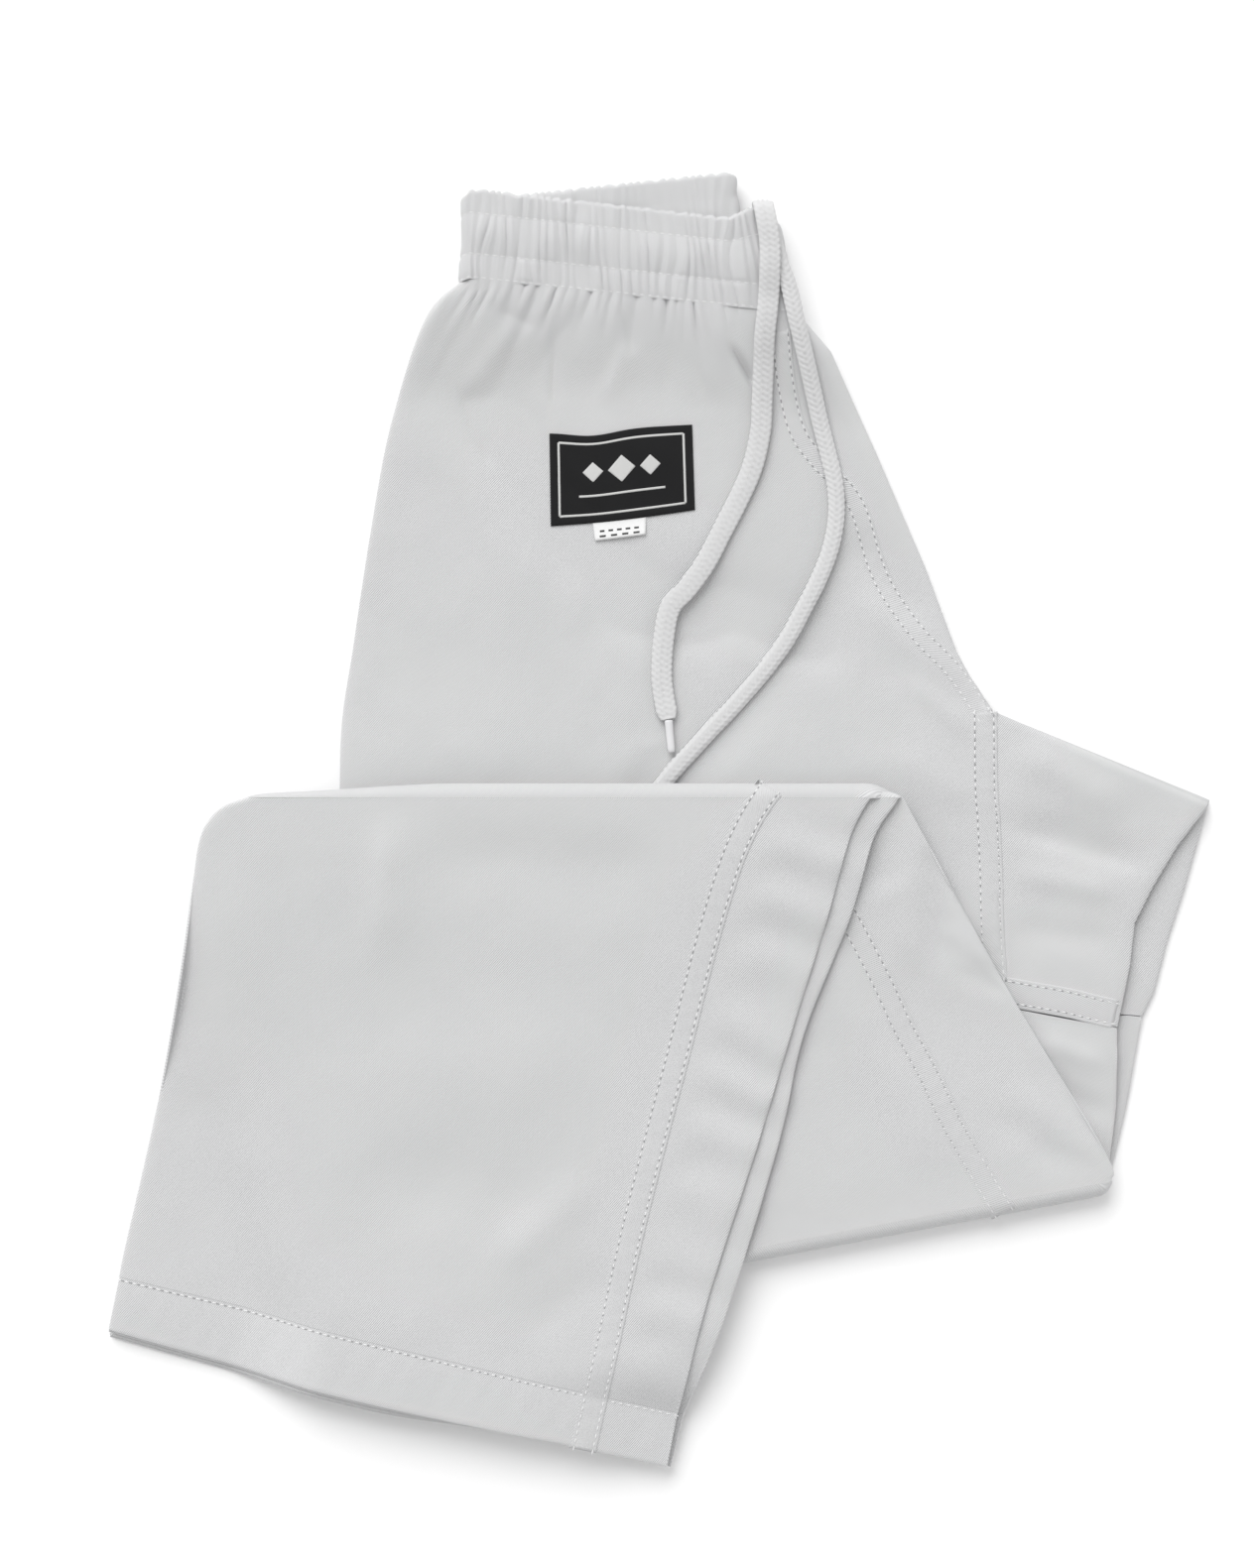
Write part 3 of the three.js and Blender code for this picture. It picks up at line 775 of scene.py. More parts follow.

# ---- Fold bends ----
# At each fold a layer goes round the layers inside it.


def bend(name, first, second, centre, direction, round_left, round_right, sag):
    """A half turn of cloth from the last row of one grid to the first row of the next."""
    (grid_a, z_a), (grid_b, z_b) = first, second
    turn = np.linspace(0, math.pi, 15)
    rows = []
    for angle in turn:
        share = angle / math.pi
        place = grid_a[-1] * (1 - share) + grid_b[0] * share
        radius = (centre - z_a[-1]) * (1 - share) + (z_b[0] - centre) * share
        reach = np.abs(radius) * math.sin(angle)
        from_left = np.linalg.norm(place - place[0], axis=1) / round_left
        from_right = np.linalg.norm(place - place[-1], axis=1) / round_right
        ends = np.clip(np.minimum(from_left, from_right), 0, 1)
        sagging = 1 - sag * (1 - smooth(0, 90, place[:, 0] - place[0, 0]))
        reach = reach * np.sqrt(np.clip(1 - (1 - ends) ** 2, 0, 1)) * sagging
        place = place + np.outer(reach, direction)
        rows.append(np.column_stack([place, centre - radius * math.cos(angle)]))
    piece = cloth_layer(name, np.array(rows), lies_flat=False)
    start, end = rows[0].mean(axis=0) * MM, rows[-1].mean(axis=0) * MM
    start[:2] = end[:2]
    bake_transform(piece)


slope_length = math.hypot(1, KNEE_SLOPE)
for layer in LEVELS:
    thigh, middle, shin = grids[layer], grids[layer + "_middle"], grids[layer + "_shin"]
    down = (KNEE_SLOPE / slope_length, -1 / slope_length)
    bend(f"{layer}_knee_bend", thigh, middle, KNEE_CENTRE, down, 5, 7, 0.0)
    centre = SHIN_CENTRE + SHIN_LOFT
    bend(f"{layer}_shin_bend", middle, shin, centre, (0, 1), 16, 9, 0.7)

# ---- Hems ----
# Each leg end is turned up inside by 22 mm; the turn puckers a little along its stitching.

HEM_WIDTH = 240
HEM_LEFT_END = (-232.2, -215.0)
HEM_RIGHT_END = {"right": (2.9, -272.0), "left": (4.6, -272.6)}
HEM_PROFILE = [0, 0.06, 0.14, 0.25, 0.37, 0.5, 0.63, 0.75, 0.86, 0.93, 0.97, 0.992, 1.0]
hem_tops = {}
for layer, level in LEVELS.items():
    side, face = layer.split("_")
    grid_a, z_a = grids[layer + "_shin"]
    top_row, z_top = grid_a[-1], z_a[-1]
    share = np.linalg.norm(top_row - top_row[0], axis=1) / np.linalg.norm(top_row[-1] - top_row[0])
    lower = np.array(HEM_LEFT_END) * (1 - share[:, None]) + np.array(HEM_RIGHT_END[side]) * share[:, None]
    peek = {"right_front": 0.0, "right_back": 1.0, "left_back": 2.6, "left_front": 3.6}[layer]
    lower[:, 1] -= 2.6 * np.sin(math.pi * np.clip(share * 1.25, 0, 1))
    lower[:, 1] -= peek * (1 - smooth(0.45, 0.75, share))
    inward = -1 if layer in ("right_front", "left_back") else 1
    edge = smooth(0, 4, np.minimum(share, 1 - share) * HEM_WIDTH)
    along = share * HEM_WIDTH
    rows = []
    for v in HEM_PROFILE:
        place = top_row * (1 - v) + lower * v
        wave = np.sin((along + 7 * v) * 2 * math.pi / 10.5 + 1.5 * np.sin(along / 23))
        pucker = 0.09 * wave * math.sin(math.pi * v)
        puff = 0.12 * math.sin(math.pi * v) - (0.12 if 0 < v < 0.1 else 0)
        lift = (pucker + puff) * edge * -inward * smooth(0.6, STACK_TOP, level)
        sink = 0.42 * (v > 0.985) * edge * inward
        rows.append(np.column_stack([place, z_top + lift + sink * 0.5]))
    for v in (0.99, 0.9, 0.6, 0.3, 0.1):
        place = top_row * (1 - v) + lower * v
        rows.append(np.column_stack([place, z_top + inward * 0.62 * edge]))
    piece = cloth_layer(f"{layer}_hem_cloth", np.array(rows), thick=0.5)
    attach(piece, "shin")
    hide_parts(f"{layer}_hem")
    hem_tops[layer] = rows

# ---- Waistband ----
# A casing of twill runs round the waist in two skins, gathered by the elastic and the drawcord
# stitched inside it; flat on the table it lies in four walls with a fold at each end.

BAND_FRONT, BAND_BACK, BAND_PITCH, BAND_WALL = 47.0, 28.0, 3.6, 1.6


def wall_level(w):
    return BAND_WALL + BAND_PITCH * w


def band_path(step):
    """The band's centre line as rows of x, level, share of back, and the outward direction."""
    path = []

    def wall(x0, x1, level, back, out, spacing):
        for x in np.linspace(x0, x1, max(2, int(abs(x1 - x0) / spacing)))[:-1]:
            path.append((x, level, back, 0.0, out))

    def fold(x, level, radius, start, end, back_a, back_b, sign, flat=1.0):
        for angle in np.linspace(start, end, 14)[:-1]:
            share = (angle - start) / (end - start)
            back = back_a + (back_b - back_a) * share
            c, s = math.cos(angle), math.sin(angle)
            path.append((x + radius * c * flat, level + radius * s, back, sign * c, sign * s))

    q, r = math.pi / 2, BAND_PITCH / 2
    wall(BAND_FRONT, BAND_LEFT, wall_level(0), 0, -1.0, 1.6)
    fold(BAND_LEFT, wall_level(0.5), r, -q, -3 * q, 0, 1, 1)
    wall(BAND_LEFT, BAND_BACK, wall_level(1), 1, 1.0, 1.2)
    fold(BAND_BACK, wall_level(1.5), r, -q, q, 1, 1, -1)
    wall(BAND_BACK, BAND_LEFT, wall_level(2), 1, -1.0, step * 2)
    fold(BAND_LEFT, wall_level(2.5), r, -q, -3 * q, 1, 0, 1)
    wall(BAND_LEFT, BAND_FRONT, wall_level(3), 0, 1.0, step)
    fold(BAND_FRONT, wall_level(1.5), 3 * r, q, -q, 0, 0, 1, 0.5)
    return np.array(path)


STITCH_ROWS = (10.0, 27.0, 37.0)


def pinch(depth):
    return 1 - 0.4 * max(math.exp(-(((depth - row) / 0.9) ** 2)) for row in STITCH_ROWS)


def gather_phase(x, depth):
    """Where the cloth is in its run of pleats; they lean a little, and none is quite like the next."""
    drift = np.array([noise.noise(Vector((a / 9, depth / 30, 5.5))) for a in np.ravel(x)])
    return (x - BAND_LEFT) / 4.2 + 0.014 * depth + 1.0 * np.reshape(drift, np.shape(x))


def band_skin(name, depths, side, offset, height, step, stands_for):
    """One skin of the band, side 1 outside and -1 inside, pleated all the way round."""
    path = band_path(step)
    rows, calm = [], 1 - 0.7 * smooth(34, 46, path[:, 0])
    for depth, turn_over in depths:
        x, level = path[:, 0], path[:, 1]
        jitter = 0.7 + 0.7 * crumple(x, x * 0 + depth * 0.5, 8.0, 21.5)
        phase = gather_phase(x, depth)
        ripple = np.abs(np.sin(math.pi * phase)) ** 0.36 + 0.22 * pleat(2.37 * phase + 0.3)
        ripple = ripple * pinch(depth) * jitter
        proud = (offset + height * ripple * calm) * side * turn_over
        bulge = 1.1 * math.exp(-(((depth - 18) / 6.5) ** 2)) * (side > 0)
        proud = proud + bulge * side * (level > 12.3)
        proud = proud * np.where(level < 2.5, 0.25, 1.0)
        corner = 6.6 * smooth(26, 43, x) * (level > 12.3) * (1 - smooth(0, 26, depth))
        top = front_top(x) * (1 - path[:, 2]) + back_top(x) * path[:, 2]
        top = top - 2.6 * (1 - np.sqrt(smooth(-4, 5, x - BAND_LEFT))) * (1 - smooth(0, 8, depth))
        frill = 0.5 * np.sin(gather_phase(x, 0) * 2 * math.pi + 0.6) * (1 - smooth(0, 5, depth))
        spread = FLARE * (x - BAND_LEFT) * depth / BAND_HEIGHT
        sideways = 0.35 * np.sin(gather_phase(x, depth) * 2 * math.pi) * (path[:, 3] == 0)
        rows.append(
            np.column_stack([
                x + spread + sideways + path[:, 3] * proud,
                top - depth + corner + frill,
                np.maximum(level + path[:, 4] * proud, 0.35),
            ])
        )
    grid = np.array(rows)
    grid = np.concatenate([grid, grid[:, :1]], axis=1)
    piece = cloth_layer(name, grid, outward_up=side > 0, thick=0.5)
    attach(piece, "hips")
    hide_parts(stands_for)
    return grid


TURN_OVER = [(0.0, 0.0), (0.12, 0.35), (0.45, 0.66), (1.0, 0.87), (1.7, 0.97)]
outer_depths = TURN_OVER + [(d, 1.0) for d in np.arange(2.5, 38.2, 0.9)]
inner_depths = TURN_OVER + [(d, 1.0) for d in np.arange(2.5, 38.2, 1.4)]
outer_grid = band_skin("waistband_outer_skin", outer_depths, 1, 0.6, 1.7, 0.45, "waistband_outer_casing")
band_skin("waistband_inner_skin", inner_depths, -1, 0.5, 1.3, 0.35, "waistband_inner_casing")


def band_strip(name, top, width, thick, rib, material, stands_for):
    """A flat strip shut in the band: a closed ribbon along its centre line, ribbed crosswise."""
    path = band_path(1.2)
    rings = []
    for i, (x, level, back, out_x, out_level) in enumerate(path):
        edge = front_top(x) * (1 - back) + back_top(x) * back
        half = thick / 2 * (1 - rib * (i % 2))
        ring = []
        for depth, side in ((top + width, -1), (top + width, 1), (top, 1), (top, -1)):
            spread = FLARE * (x - BAND_LEFT) * depth / BAND_HEIGHT
            ring.append((x + spread + out_x * half * side, edge - depth, level + out_level * half * side))
        rings.append(ring)
    count = len(rings)
    faces = [
        (i * 4 + k, ((i + 1) % count) * 4 + k, ((i + 1) % count) * 4 + (k + 1) % 4, i * 4 + (k + 1) % 4)
        for i in range(count)
        for k in range(4)
    ]
    points = np.vstack(rings)
    piece = make_object(name, points, faces, points[:, :2] * MM)
    face_outward(piece)
    piece.data.materials.append(material)
    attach(piece, "hips")
    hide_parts(stands_for)


elastic_weave = cotton("elastic_weave", (0.6, 0.6, 0.6), (0.7, 0.7, 0.7), 500, 0.0, 0.3, 0.6, 0.7)
band_strip("elastic_strip", 11, 15, 0.8, 0.35, elastic_weave, "waistband_elastic")
band_strip("channel_braid", 28, 8, 0.8, 0.25, cord_cotton, "drawcord_in_channel")

# ---- Seams ----
# The legs are joined by flat-felled seams: a lapped ridge of cloth with a row of stitches along
# each edge. The hem and the waistband have single rows.


def surface_of(names):
    """The pieces' surface, to lay things on."""
    points, faces = [], []
    for name in names:
        mesh = bpy.data.objects[name].data
        base = len(points)
        points += [v.co.copy() for v in mesh.vertices]
        faces += [[base + i for i in polygon.vertices] for polygon in mesh.polygons]
    return BVHTree.FromPolygons(points, faces)


def rest_on(surface, x, y, otherwise=None):
    """The height in millimetres of the surface's top at a place."""
    hit = surface.ray_cast(Vector((x * MM, y * MM, 0.2)), Vector((0, 0, -1)))[0]
    return otherwise if hit is None else hit.z / MM


def smooth_line(values, times):
    for _ in range(times):
        values[1:-1] = (values[:-2] + 2 * values[1:-1] + values[2:]) / 4
    return values


def felled_seam(name, points, width, surface, body, proud=0.42):
    """A lapped ridge over the line, and the two stitch lines along it."""
    line = even(spline(points, np.linspace(0, len(points) - 1, 400)), 1.5)
    tangent = unit(np.gradient(line, axis=0))
    side = np.column_stack([-tangent[:, 1], tangent[:, 0]])
    profile = [(-0.5, -0.45), (-0.46, 0.1), (-0.4, 0.25), (-0.34, -0.05), (-0.28, 0.35), (-0.12, 0.62)]
    profile += [(0.05, 0.7), (0.2, 0.78), (0.3, 0.85), (0.36, 0.45), (0.42, 0.95), (0.47, 1.0)]
    profile += [(0.49, 0.4), (0.5, -0.4)]
    columns, seen = [], None
    for across, lift in profile:
        place = line + side * across * width
        z = []
        for x, y in place:
            seen = rest_on(surface, x, y, seen)
            z.append(seen)
        first = next(height for height in z if height is not None)
        z = [first if height is None else height for height in z]
        wave = 1 + 0.15 * np.sin(np.arange(len(line)) * 1.5 * 2 * math.pi / 7.5 + 2.0 * across)
        z = smooth_line(np.array(z), 1) + lift * proud * wave
        columns.append(np.column_stack([place, z]))
    grid = np.array(columns).transpose(1, 0, 2)
    rows, count = grid.shape[:2]
    under = grid.copy()
    under[:, :, 2] -= 0.45
    points_all = np.vstack([grid.reshape(-1, 3), under.reshape(-1, 3)])
    half = rows * count
    faces = grid_faces(rows, count)
    faces = [tuple(reversed(f)) for f in faces] + [tuple(i + half for i in f) for f in faces]
    for i in range(rows - 1):
        a, b = i * count, (i + 1) * count
        c, d = a + count - 1, b + count - 1
        faces += [(a, b, b + half, a + half), (d, c, c + half, d + half)]
    last = (rows - 1) * count
    for k in range(count - 1):
        m = last + k
        faces += [(k + 1, k, k + half, k + 1 + half), (m, m + 1, m + 1 + half, m + half)]
    across, along = np.meshgrid([p[0] * width for p in profile], np.arange(rows) * 1.5)
    uvs = np.tile(np.stack([across, along], axis=2).reshape(-1, 2), (2, 1))
    piece = make_object(name, points_all, faces, uvs * MM)
    face_outward(piece)
    piece.data.materials.append(twill)
    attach(piece, body)
    return [grid[:, 3] + np.array([0, 0, 0.12]), grid[:, 9] + np.array([0, 0, 0.12])]


upper = surface_of(["right_front_thigh_cloth", "right_front_gusset_cloth"])
middle_top = surface_of(["left_front_knee_cloth", "left_front_knee_bend"])
shin_top = surface_of(["right_front_shin_cloth", "right_front_shin_bend", "right_front_hem_cloth"])
RISE_SEAM = [
    (50.5, 205), (52.5, 186), (57.6, 164.6), (66, 152), (82, 134), (90.5, 109), (97, 95), (109.5, 77.5),
    (124, 62.5), (137, 43.5),
]
INSEAM_SEAM = [(136.6, 45.5), (136.8, 14), (137.8, 0), (138.8, -21), (139.4, -45), (140.8, -68)]
CROSS_SEAM = [(143, -72), (155, -74.2), (171, -77), (184, -80.2), (192, -82)]
MIDDLE_SEAM = [
    (66, -18), (74.5, -33), (81, -44.8), (93, -68), (101.8, -87), (112.6, -107), (121.8, -126.5),
    (135, -149.5), (144.6, -165.6),
]
SHIN_SEAM = [
    (46, 13.6), (41, 6.5), (36.5, -1), (30.5, -14), (24.8, -31), (19, -51), (12.8, -75), (6.8, -99),
    (1.2, -120), (-4.5, -142), (-11.5, -170), (-17.2, -195), (-21.2, -214), (-25.6, -234),
    (-32.3, -264.3),
]
stitch_lines = []
for name, points, width, surface, body in (
    ("rise_seam", RISE_SEAM, 9.0, upper, "hips"),
    ("inseam_thigh", INSEAM_SEAM, 11.5, upper, "hips"),
    ("gusset_cross_seam", CROSS_SEAM, 12.5, upper, "hips"),
    ("inseam_middle", MIDDLE_SEAM, 11.0, middle_top, "knee"),
    ("inseam_shin", SHIN_SEAM, 11.5, shin_top, "shin"),
):
    for line in felled_seam(name, points, width, surface, body):
        stitch_lines.append((line, body))

hem_rows = hem_tops["right_front"]
stitch_lines.append((hem_rows[1] + np.array([0, 0, 0.27]), "shin"))
band_stitches = []
for row in STITCH_ROWS:
    index = int(np.argmin([abs(d - row) for d, _ in outer_depths]))
    line = outer_grid[index]
    front = line[(line[:, 2] > 12.6)]
    band_stitches.append((front[np.argsort(front[:, 0])] + np.array([0, 0, 0.2]), "hips"))

thread = mottled("thread", (0.7, 0.7, 0.705), (0.8, 0.8, 0.8), 500.0, 0.55)
# Painted shade: dark grey dots between the stitches stand for the shade inside the needle holes, which are
# the same white as the cloth.
painted_needle_shade = mottled("painted_needle_shade", (0.26, 0.26, 0.265), (0.4, 0.4, 0.405), 300.0, 0.95)


def stitch_nodes():
    """Sets one stitch at every pitch along a line of edges, each a short rounded bar on the cloth."""
    group = bpy.data.node_groups.new("stitches", "GeometryNodeTree")
    face = group.interface
    face.new_socket(name="Line", in_out="INPUT", socket_type="NodeSocketGeometry")
    sockets = {}
    kinds = {"Pitch": "Float", "Length": "Float", "Radius": "Float", "Seed": "Int", "Material": "Material"}
    for socket, kind in kinds.items():
        made = face.new_socket(name=socket, in_out="INPUT", socket_type="NodeSocket" + kind)
        sockets[socket.lower()] = made.identifier
    face.new_socket(name="Stitches", in_out="OUTPUT", socket_type="NodeSocketGeometry")
    nodes, links = group.nodes, group.links
    ins, outs = nodes.new("NodeGroupInput"), nodes.new("NodeGroupOutput")
    curve = nodes.new("GeometryNodeMeshToCurve")
    points = nodes.new("GeometryNodeCurveToPoints")
    points.mode = "LENGTH"
    bar = nodes.new("GeometryNodeMeshIcoSphere")
    dial(bar, {"Subdivisions": 2, "Radius": 1.0})
    size = nodes.new("ShaderNodeCombineXYZ")
    random = nodes.new("FunctionNodeRandomValue")
    random.data_type = "FLOAT"
    dial(random, {"Min": 0.88, "Max": 1.08})
    stretch = nodes.new("ShaderNodeMath")
    stretch.operation = "MULTIPLY"
    place = nodes.new("GeometryNodeInstanceOnPoints")
    real = nodes.new("GeometryNodeRealizeInstances")
    smooth_faces = nodes.new("GeometryNodeSetShadeSmooth")
    paint = nodes.new("GeometryNodeSetMaterial")
    links.new(ins.outputs["Line"], curve.inputs["Mesh"])
    links.new(curve.outputs[0], points.inputs["Curve"])
    links.new(ins.outputs["Pitch"], points.inputs["Length"])
    links.new(ins.outputs["Material"], paint.inputs["Material"])
    links.new(ins.outputs["Seed"], random.inputs["Seed"])
    links.new(random.outputs["Value"], stretch.inputs[0])
    links.new(ins.outputs["Length"], stretch.inputs[1])
    links.new(ins.outputs["Radius"], size.inputs["X"])
    links.new(ins.outputs["Radius"], size.inputs["Y"])
    links.new(stretch.outputs[0], size.inputs["Z"])
    links.new(points.outputs["Points"], place.inputs["Points"])
    links.new(points.outputs["Rotation"], place.inputs["Rotation"])
    links.new(bar.outputs["Mesh"], place.inputs["Instance"])
    links.new(size.outputs[0], place.inputs["Scale"])
    links.new(place.outputs[0], real.inputs[0])
    links.new(real.outputs[0], smooth_faces.inputs[0])
    links.new(smooth_faces.outputs[0], paint.inputs[0])
    links.new(paint.outputs[0], outs.inputs[0])
    return group, sockets


stitches, sockets = stitch_nodes()
STITCH_PITCH = 3.4
for kind, shift, length, radius, lift, material in (
    ("thread", 0.0, 0.00105, 0.00030, 0.0, thread),
    # The second set is painted shade: dark dots sunk between the stitches in place of the shade inside the
    # needle holes.
    ("needle_pits", STITCH_PITCH / 2, 0.00085, 0.00032, -0.05, painted_needle_shade),
):
    for body in ("hips", "knee", "shin"):
        points, edges = [], []
        for line, line_body in stitch_lines + (band_stitches if kind == "thread" else []):
            if line_body == body:
                run = even(line, 0.85)[int(round(shift / 0.85)):] + np.array([0, 0, lift])
                edges += [(len(points) + i, len(points) + i + 1) for i in range(len(run) - 1)]
                points += [tuple(p) for p in run]
        mesh = bpy.data.meshes.new(f"{kind}_{body}")
        mesh.from_pydata((np.array(points) * MM).tolist(), edges, [])
        piece = bpy.data.objects.new(f"{kind}_{body}", mesh)
        scene.collection.objects.link(piece)
        modifier = piece.modifiers.new("stitches", "NODES")
        modifier.node_group = stitches
        modifier[sockets["pitch"]] = STITCH_PITCH * MM
        modifier[sockets["length"]] = length
        modifier[sockets["radius"]] = radius
        modifier[sockets["seed"]] = 4
        modifier[sockets["material"]] = material
        evaluated = piece.evaluated_get(bpy.context.evaluated_depsgraph_get())
        finished = bpy.data.meshes.new_from_object(evaluated)
        piece.modifiers.clear()
        piece.data = finished
        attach(piece, body)

# ---- Label and care tag ----
# A black satin-woven label with a thin pale frame and a plain motif of three diamonds over a
# line, sewn down round its edge. A small care tag hangs out from under its lower edge.

LABEL_CORNERS = [(-46.5, 163.3), (13.7, 166.5), (14.9, 130.6), (-45.9, 123.8)]
LABEL_WIDTH, LABEL_DEPTH = 60, 38
label_ground = surface_of(["right_front_thigh_cloth"])


def within(corners, u, v):
    """A place between four corners, u across and v down from 0 to 1."""
    (ax, ay), (bx, by), (cx, cy), (dx, dy) = corners
    x = (ax * (1 - u) + bx * u) * (1 - v) + (dx * (1 - u) + cx * u) * v
    y = (ay * (1 - u) + by * u) * (1 - v) + (dy * (1 - u) + cy * u) * v
    return x, y


def label_place(u, v):
    """A place on the label, whose top edge sags a little."""
    x, y = within(LABEL_CORNERS, u, v)
    sag = 2.4 * math.exp(-(((u - 0.3) / 0.22) ** 2)) * (1 - v) + 0.8 * math.sin(math.pi * u) * v
    return x, y - sag


def label_height(u, v):
    x, y = label_place(u, v)
    bow = 0.35 * math.sin(math.pi * u) * math.sin(math.pi * v)
    return rest_on(label_ground, x, y, 6.0) + 0.12 + bow


across, down = 90, 57
label_z = np.array([[label_height(i / across, j / down) for i in range(across + 1)] for j in range(down + 1)])
for _ in range(3):
    beside = label_z[:-2, 1:-1] + label_z[2:, 1:-1] + label_z[1:-1, :-2] + label_z[1:-1, 2:]
    label_z[1:-1, 1:-1] = beside / 4


def on_label(u, v, lift):
    i, j = u * across, v * down
    a, b = min(int(i), across - 1), min(int(j), down - 1)
    s, t = i - a, j - b
    z = (label_z[b, a] * (1 - s) + label_z[b, a + 1] * s) * (1 - t)
    z += (label_z[b + 1, a] * (1 - s) + label_z[b + 1, a + 1] * s) * t
    return (*label_place(u, v), z + lift)


def slab(name, rows, thick):
    """A closed slab whose top is the grid of points."""
    grid = np.array(rows)
    n, m = grid.shape[:2]
    under = grid - np.array([0, 0, thick])
    half = n * m
    faces = grid_faces(n, m)
    faces = [tuple(reversed(f)) for f in faces] + [tuple(i + half for i in f) for f in faces]
    rim = [k for k in range(m)] + [i * m + m - 1 for i in range(1, n)]
    rim += [(n - 1) * m + k for k in range(m - 2, -1, -1)] + [i * m for i in range(n - 2, 0, -1)]
    faces += [(a, b, b + half, a + half) for a, b in zip(rim, rim[1:] + rim[:1])]
    points = np.vstack([grid.reshape(-1, 3), under.reshape(-1, 3)])
    piece = make_object(name, points, faces, points[:, :2] * MM)
    face_outward(piece)
    return piece


satin = cotton("black_satin", (0.0075, 0.0075, 0.008), (0.014, 0.014, 0.015), 1500, 0.0, 0.5, 0.5, 0.6, 0.04)
pale_satin = cotton("pale_satin", (0.6, 0.6, 0.59), (0.74, 0.74, 0.73), 1500, 0.0, 0.5, 0.5, 0.6, 0.05)
label_rows = []
for j in range(down + 1):
    v = j / down
    row = []
    for i in range(across + 1):
        u = i / across
        rim = min(u * LABEL_WIDTH, (1 - u) * LABEL_WIDTH, v * LABEL_DEPTH, (1 - v) * LABEL_DEPTH)
        turned = 0.28 * (1 - smooth(2.6, 3.2, rim)) - 0.3 * (1 - smooth(0, 0.7, rim))
        row.append(on_label(u, v, 0.45 + turned))
    label_rows.append(row)
label = slab("label_patch", label_rows, 0.45)
label.data.materials.append(satin)
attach(label, "hips")
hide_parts("woven_label")


def label_bar(name, u0, v0, u1, v1, width):
    """A pale line woven between two places on the label."""
    count = 40
    du, dv = (u1 - u0) * LABEL_WIDTH, (v1 - v0) * LABEL_DEPTH
    length = math.hypot(du, dv)
    nu = -dv / length * width / 2 / LABEL_WIDTH
    nv = du / length * width / 2 / LABEL_DEPTH
    rows = []
    for side in (-1, -0.4, 0.4, 1):
        rows.append([
            on_label(u0 + (u1 - u0) * k / count + nu * side, v0 + (v1 - v0) * k / count + nv * side,
                     0.45 + (0.16 if abs(side) < 1 else 0.06))
            for k in range(count + 1)
        ])
    bar = slab(name, rows, 0.2)
    bar.data.materials.append(pale_satin)
    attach(bar, "hips")


FRAME_U, FRAME_V = 0.063, 0.098
for index, (u0, v0, u1, v1) in enumerate((
    (FRAME_U, FRAME_V, 1 - FRAME_U, FRAME_V), (FRAME_U, 1 - FRAME_V, 1 - FRAME_U, 1 - FRAME_V),
    (FRAME_U, FRAME_V, FRAME_U, 1 - FRAME_V), (1 - FRAME_U, FRAME_V, 1 - FRAME_U, 1 - FRAME_V),
    (0.2, 0.69, 0.8, 0.69),
)):
    label_bar(f"label_line_{index + 1}", u0, v0, u1, v1, 0.95)
for index, (middle_u, half) in enumerate(((0.3, 4.2), (0.5, 5.6), (0.7, 4.2))):
    rows = []
    for j in range(-6, 7):
        wide = (1 - abs(j) / 6.0) * half + 0.15
        v = 0.42 + j / 6 * half / LABEL_DEPTH
        rows.append([
            on_label(middle_u + wide * k / 4 / LABEL_WIDTH, v, 0.62 - 0.02 * abs(k)) for k in range(-4, 5)
        ])
    diamond = slab(f"label_diamond_{index + 1}", rows, 0.22)
    diamond.data.materials.append(pale_satin)
    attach(diamond, "hips")

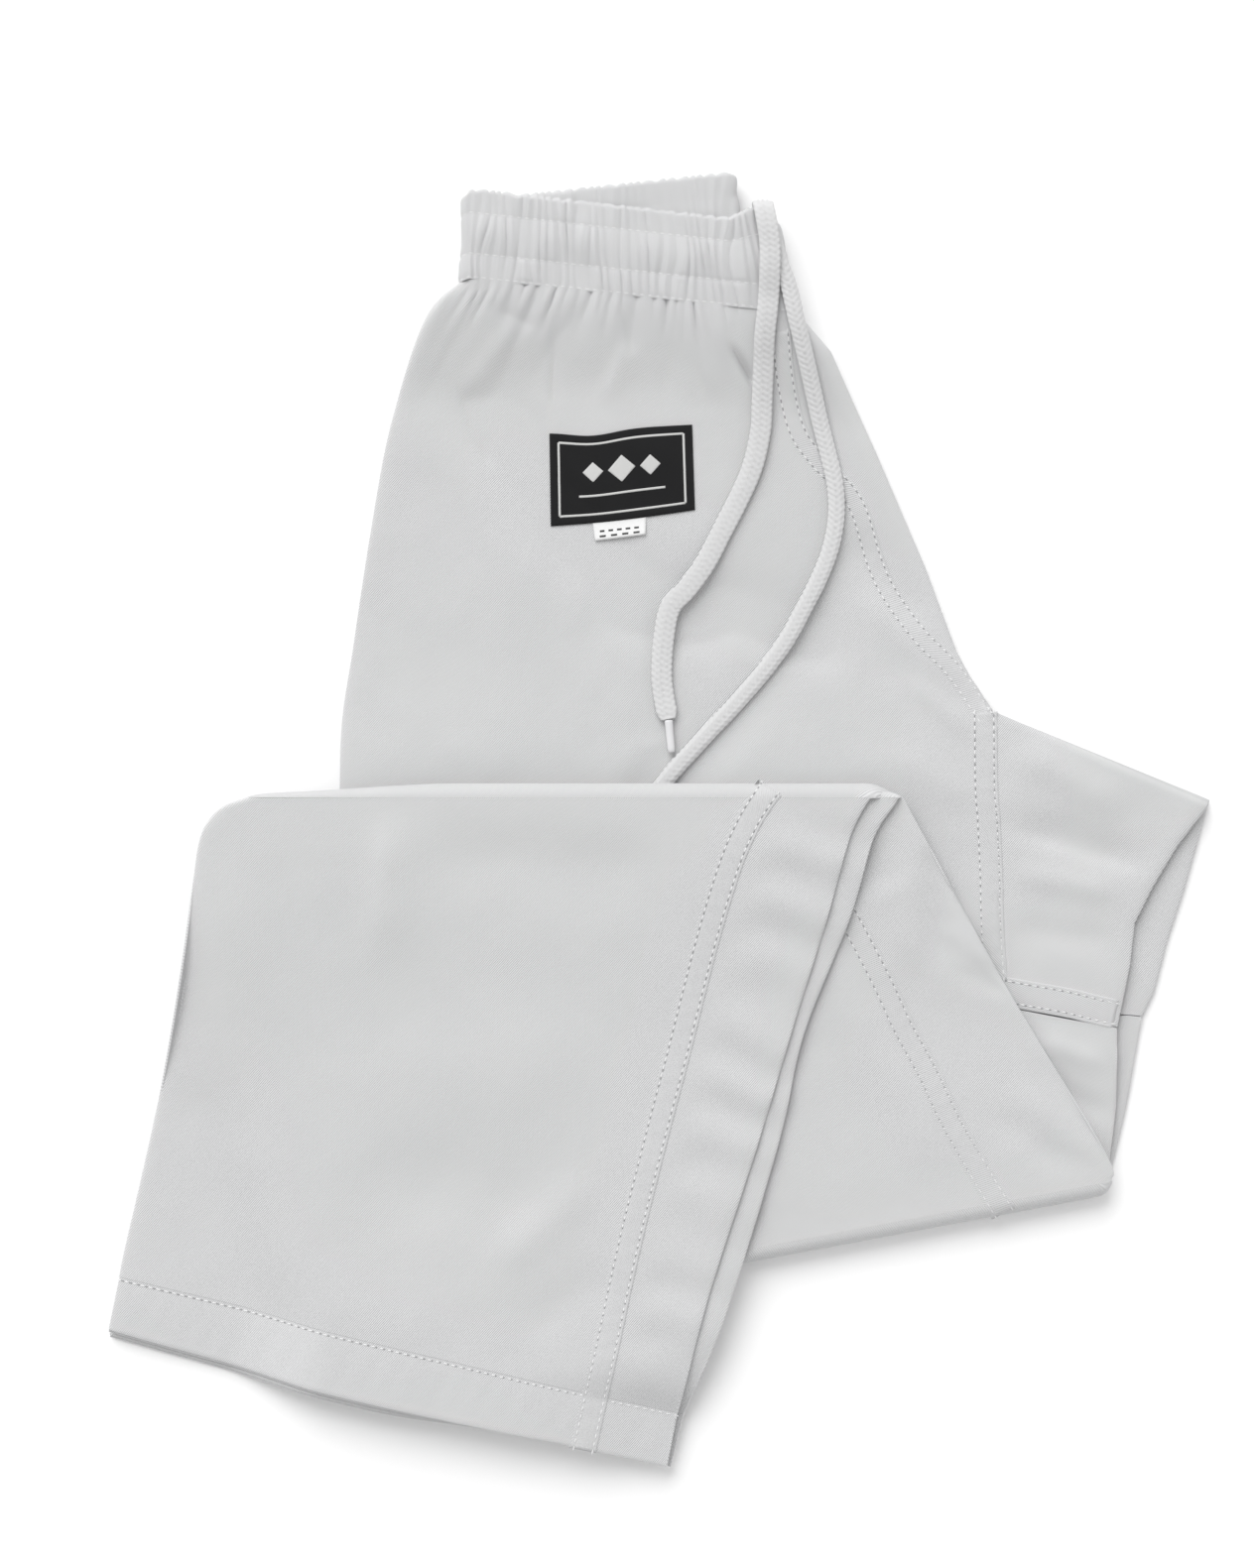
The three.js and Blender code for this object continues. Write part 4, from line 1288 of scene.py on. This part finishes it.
TAG_CORNERS = [(-28.6, 127.6), (-5.6, 129.2), (-5.9, 120.2), (-27.2, 117.6)]
tag_satin = cotton("tag_satin", (0.8, 0.8, 0.8), (0.86, 0.86, 0.86), 1800, 0.0, 0.4, 0.3, 0.5, 0.0)
tag_ink = cotton("tag_ink", (0.05, 0.05, 0.05), (0.09, 0.09, 0.09), 1800, 0.0, 0.4, 0.3, 0.6, 0.0)


def tag_place(u, v, lift):
    x, y = within(TAG_CORNERS, u, v)
    under = rest_on(label_ground, x, y, 6.0)
    return x, y, under + 0.35 + 0.9 * smooth(0.25, 1.0, v) * (0.6 + 0.4 * math.sin(3 * u)) + lift


tag = slab("care_tag_strip", [[tag_place(i / 20, j / 10, 0) for i in range(21)] for j in range(11)], 0.22)
tag.data.materials.append(tag_satin)
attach(tag, "tag")
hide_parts("care_tag")
for index, (v, marks) in enumerate(((0.62, 5), (0.84, 4))):
    for k in range(marks):
        u = 0.16 + 0.66 * k / (marks - 1)
        size = 0.045 if marks == 5 else 0.06
        rows = [[tag_place(u + du * size, v + dv * 0.07, 0.06) for du in (-1, 0, 1)] for dv in (-0.6, 0.6)]
        mark = slab(f"tag_mark_{index}_{k}", rows, 0.05)
        mark.data.materials.append(tag_ink)
        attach(mark, "tag")

# ---- Table and light ----
# A plain white table in a pale room, with one wide soft light from beyond the waist.

floor_paint, *_, floor_shader = new_material("white_table")
dial(floor_shader, {"Base Color": (0.97, 0.97, 0.97, 1), "Roughness": 0.9, "Specular IOR Level": 0.1})
span = 3000
corners = [(x * span, y * span, -0.15) for x, y in ((-1, -1), (1, -1), (1, 1), (-1, 1))]
floor = make_object("table", corners, [(0, 1, 2, 3)])
floor.data.materials.append(floor_paint)
world = bpy.data.worlds.new("room")
world.use_nodes = True
world.node_tree.nodes["Background"].inputs["Color"].default_value = (1, 1, 1, 1)
world.node_tree.nodes["Background"].inputs["Strength"].default_value = 0.7
scene.world = world
sun_data = bpy.data.lights.new("soft_key", "SUN")
sun_data.energy = 2.3
sun_data.angle = math.radians(48)
sun = bpy.data.objects.new("soft_key", sun_data)
sun.rotation_euler = Vector((0.28, -0.75, -0.66)).to_track_quat("-Z", "Y").to_euler()
scene.collection.objects.link(sun)
scene.view_settings.view_transform = "Standard"
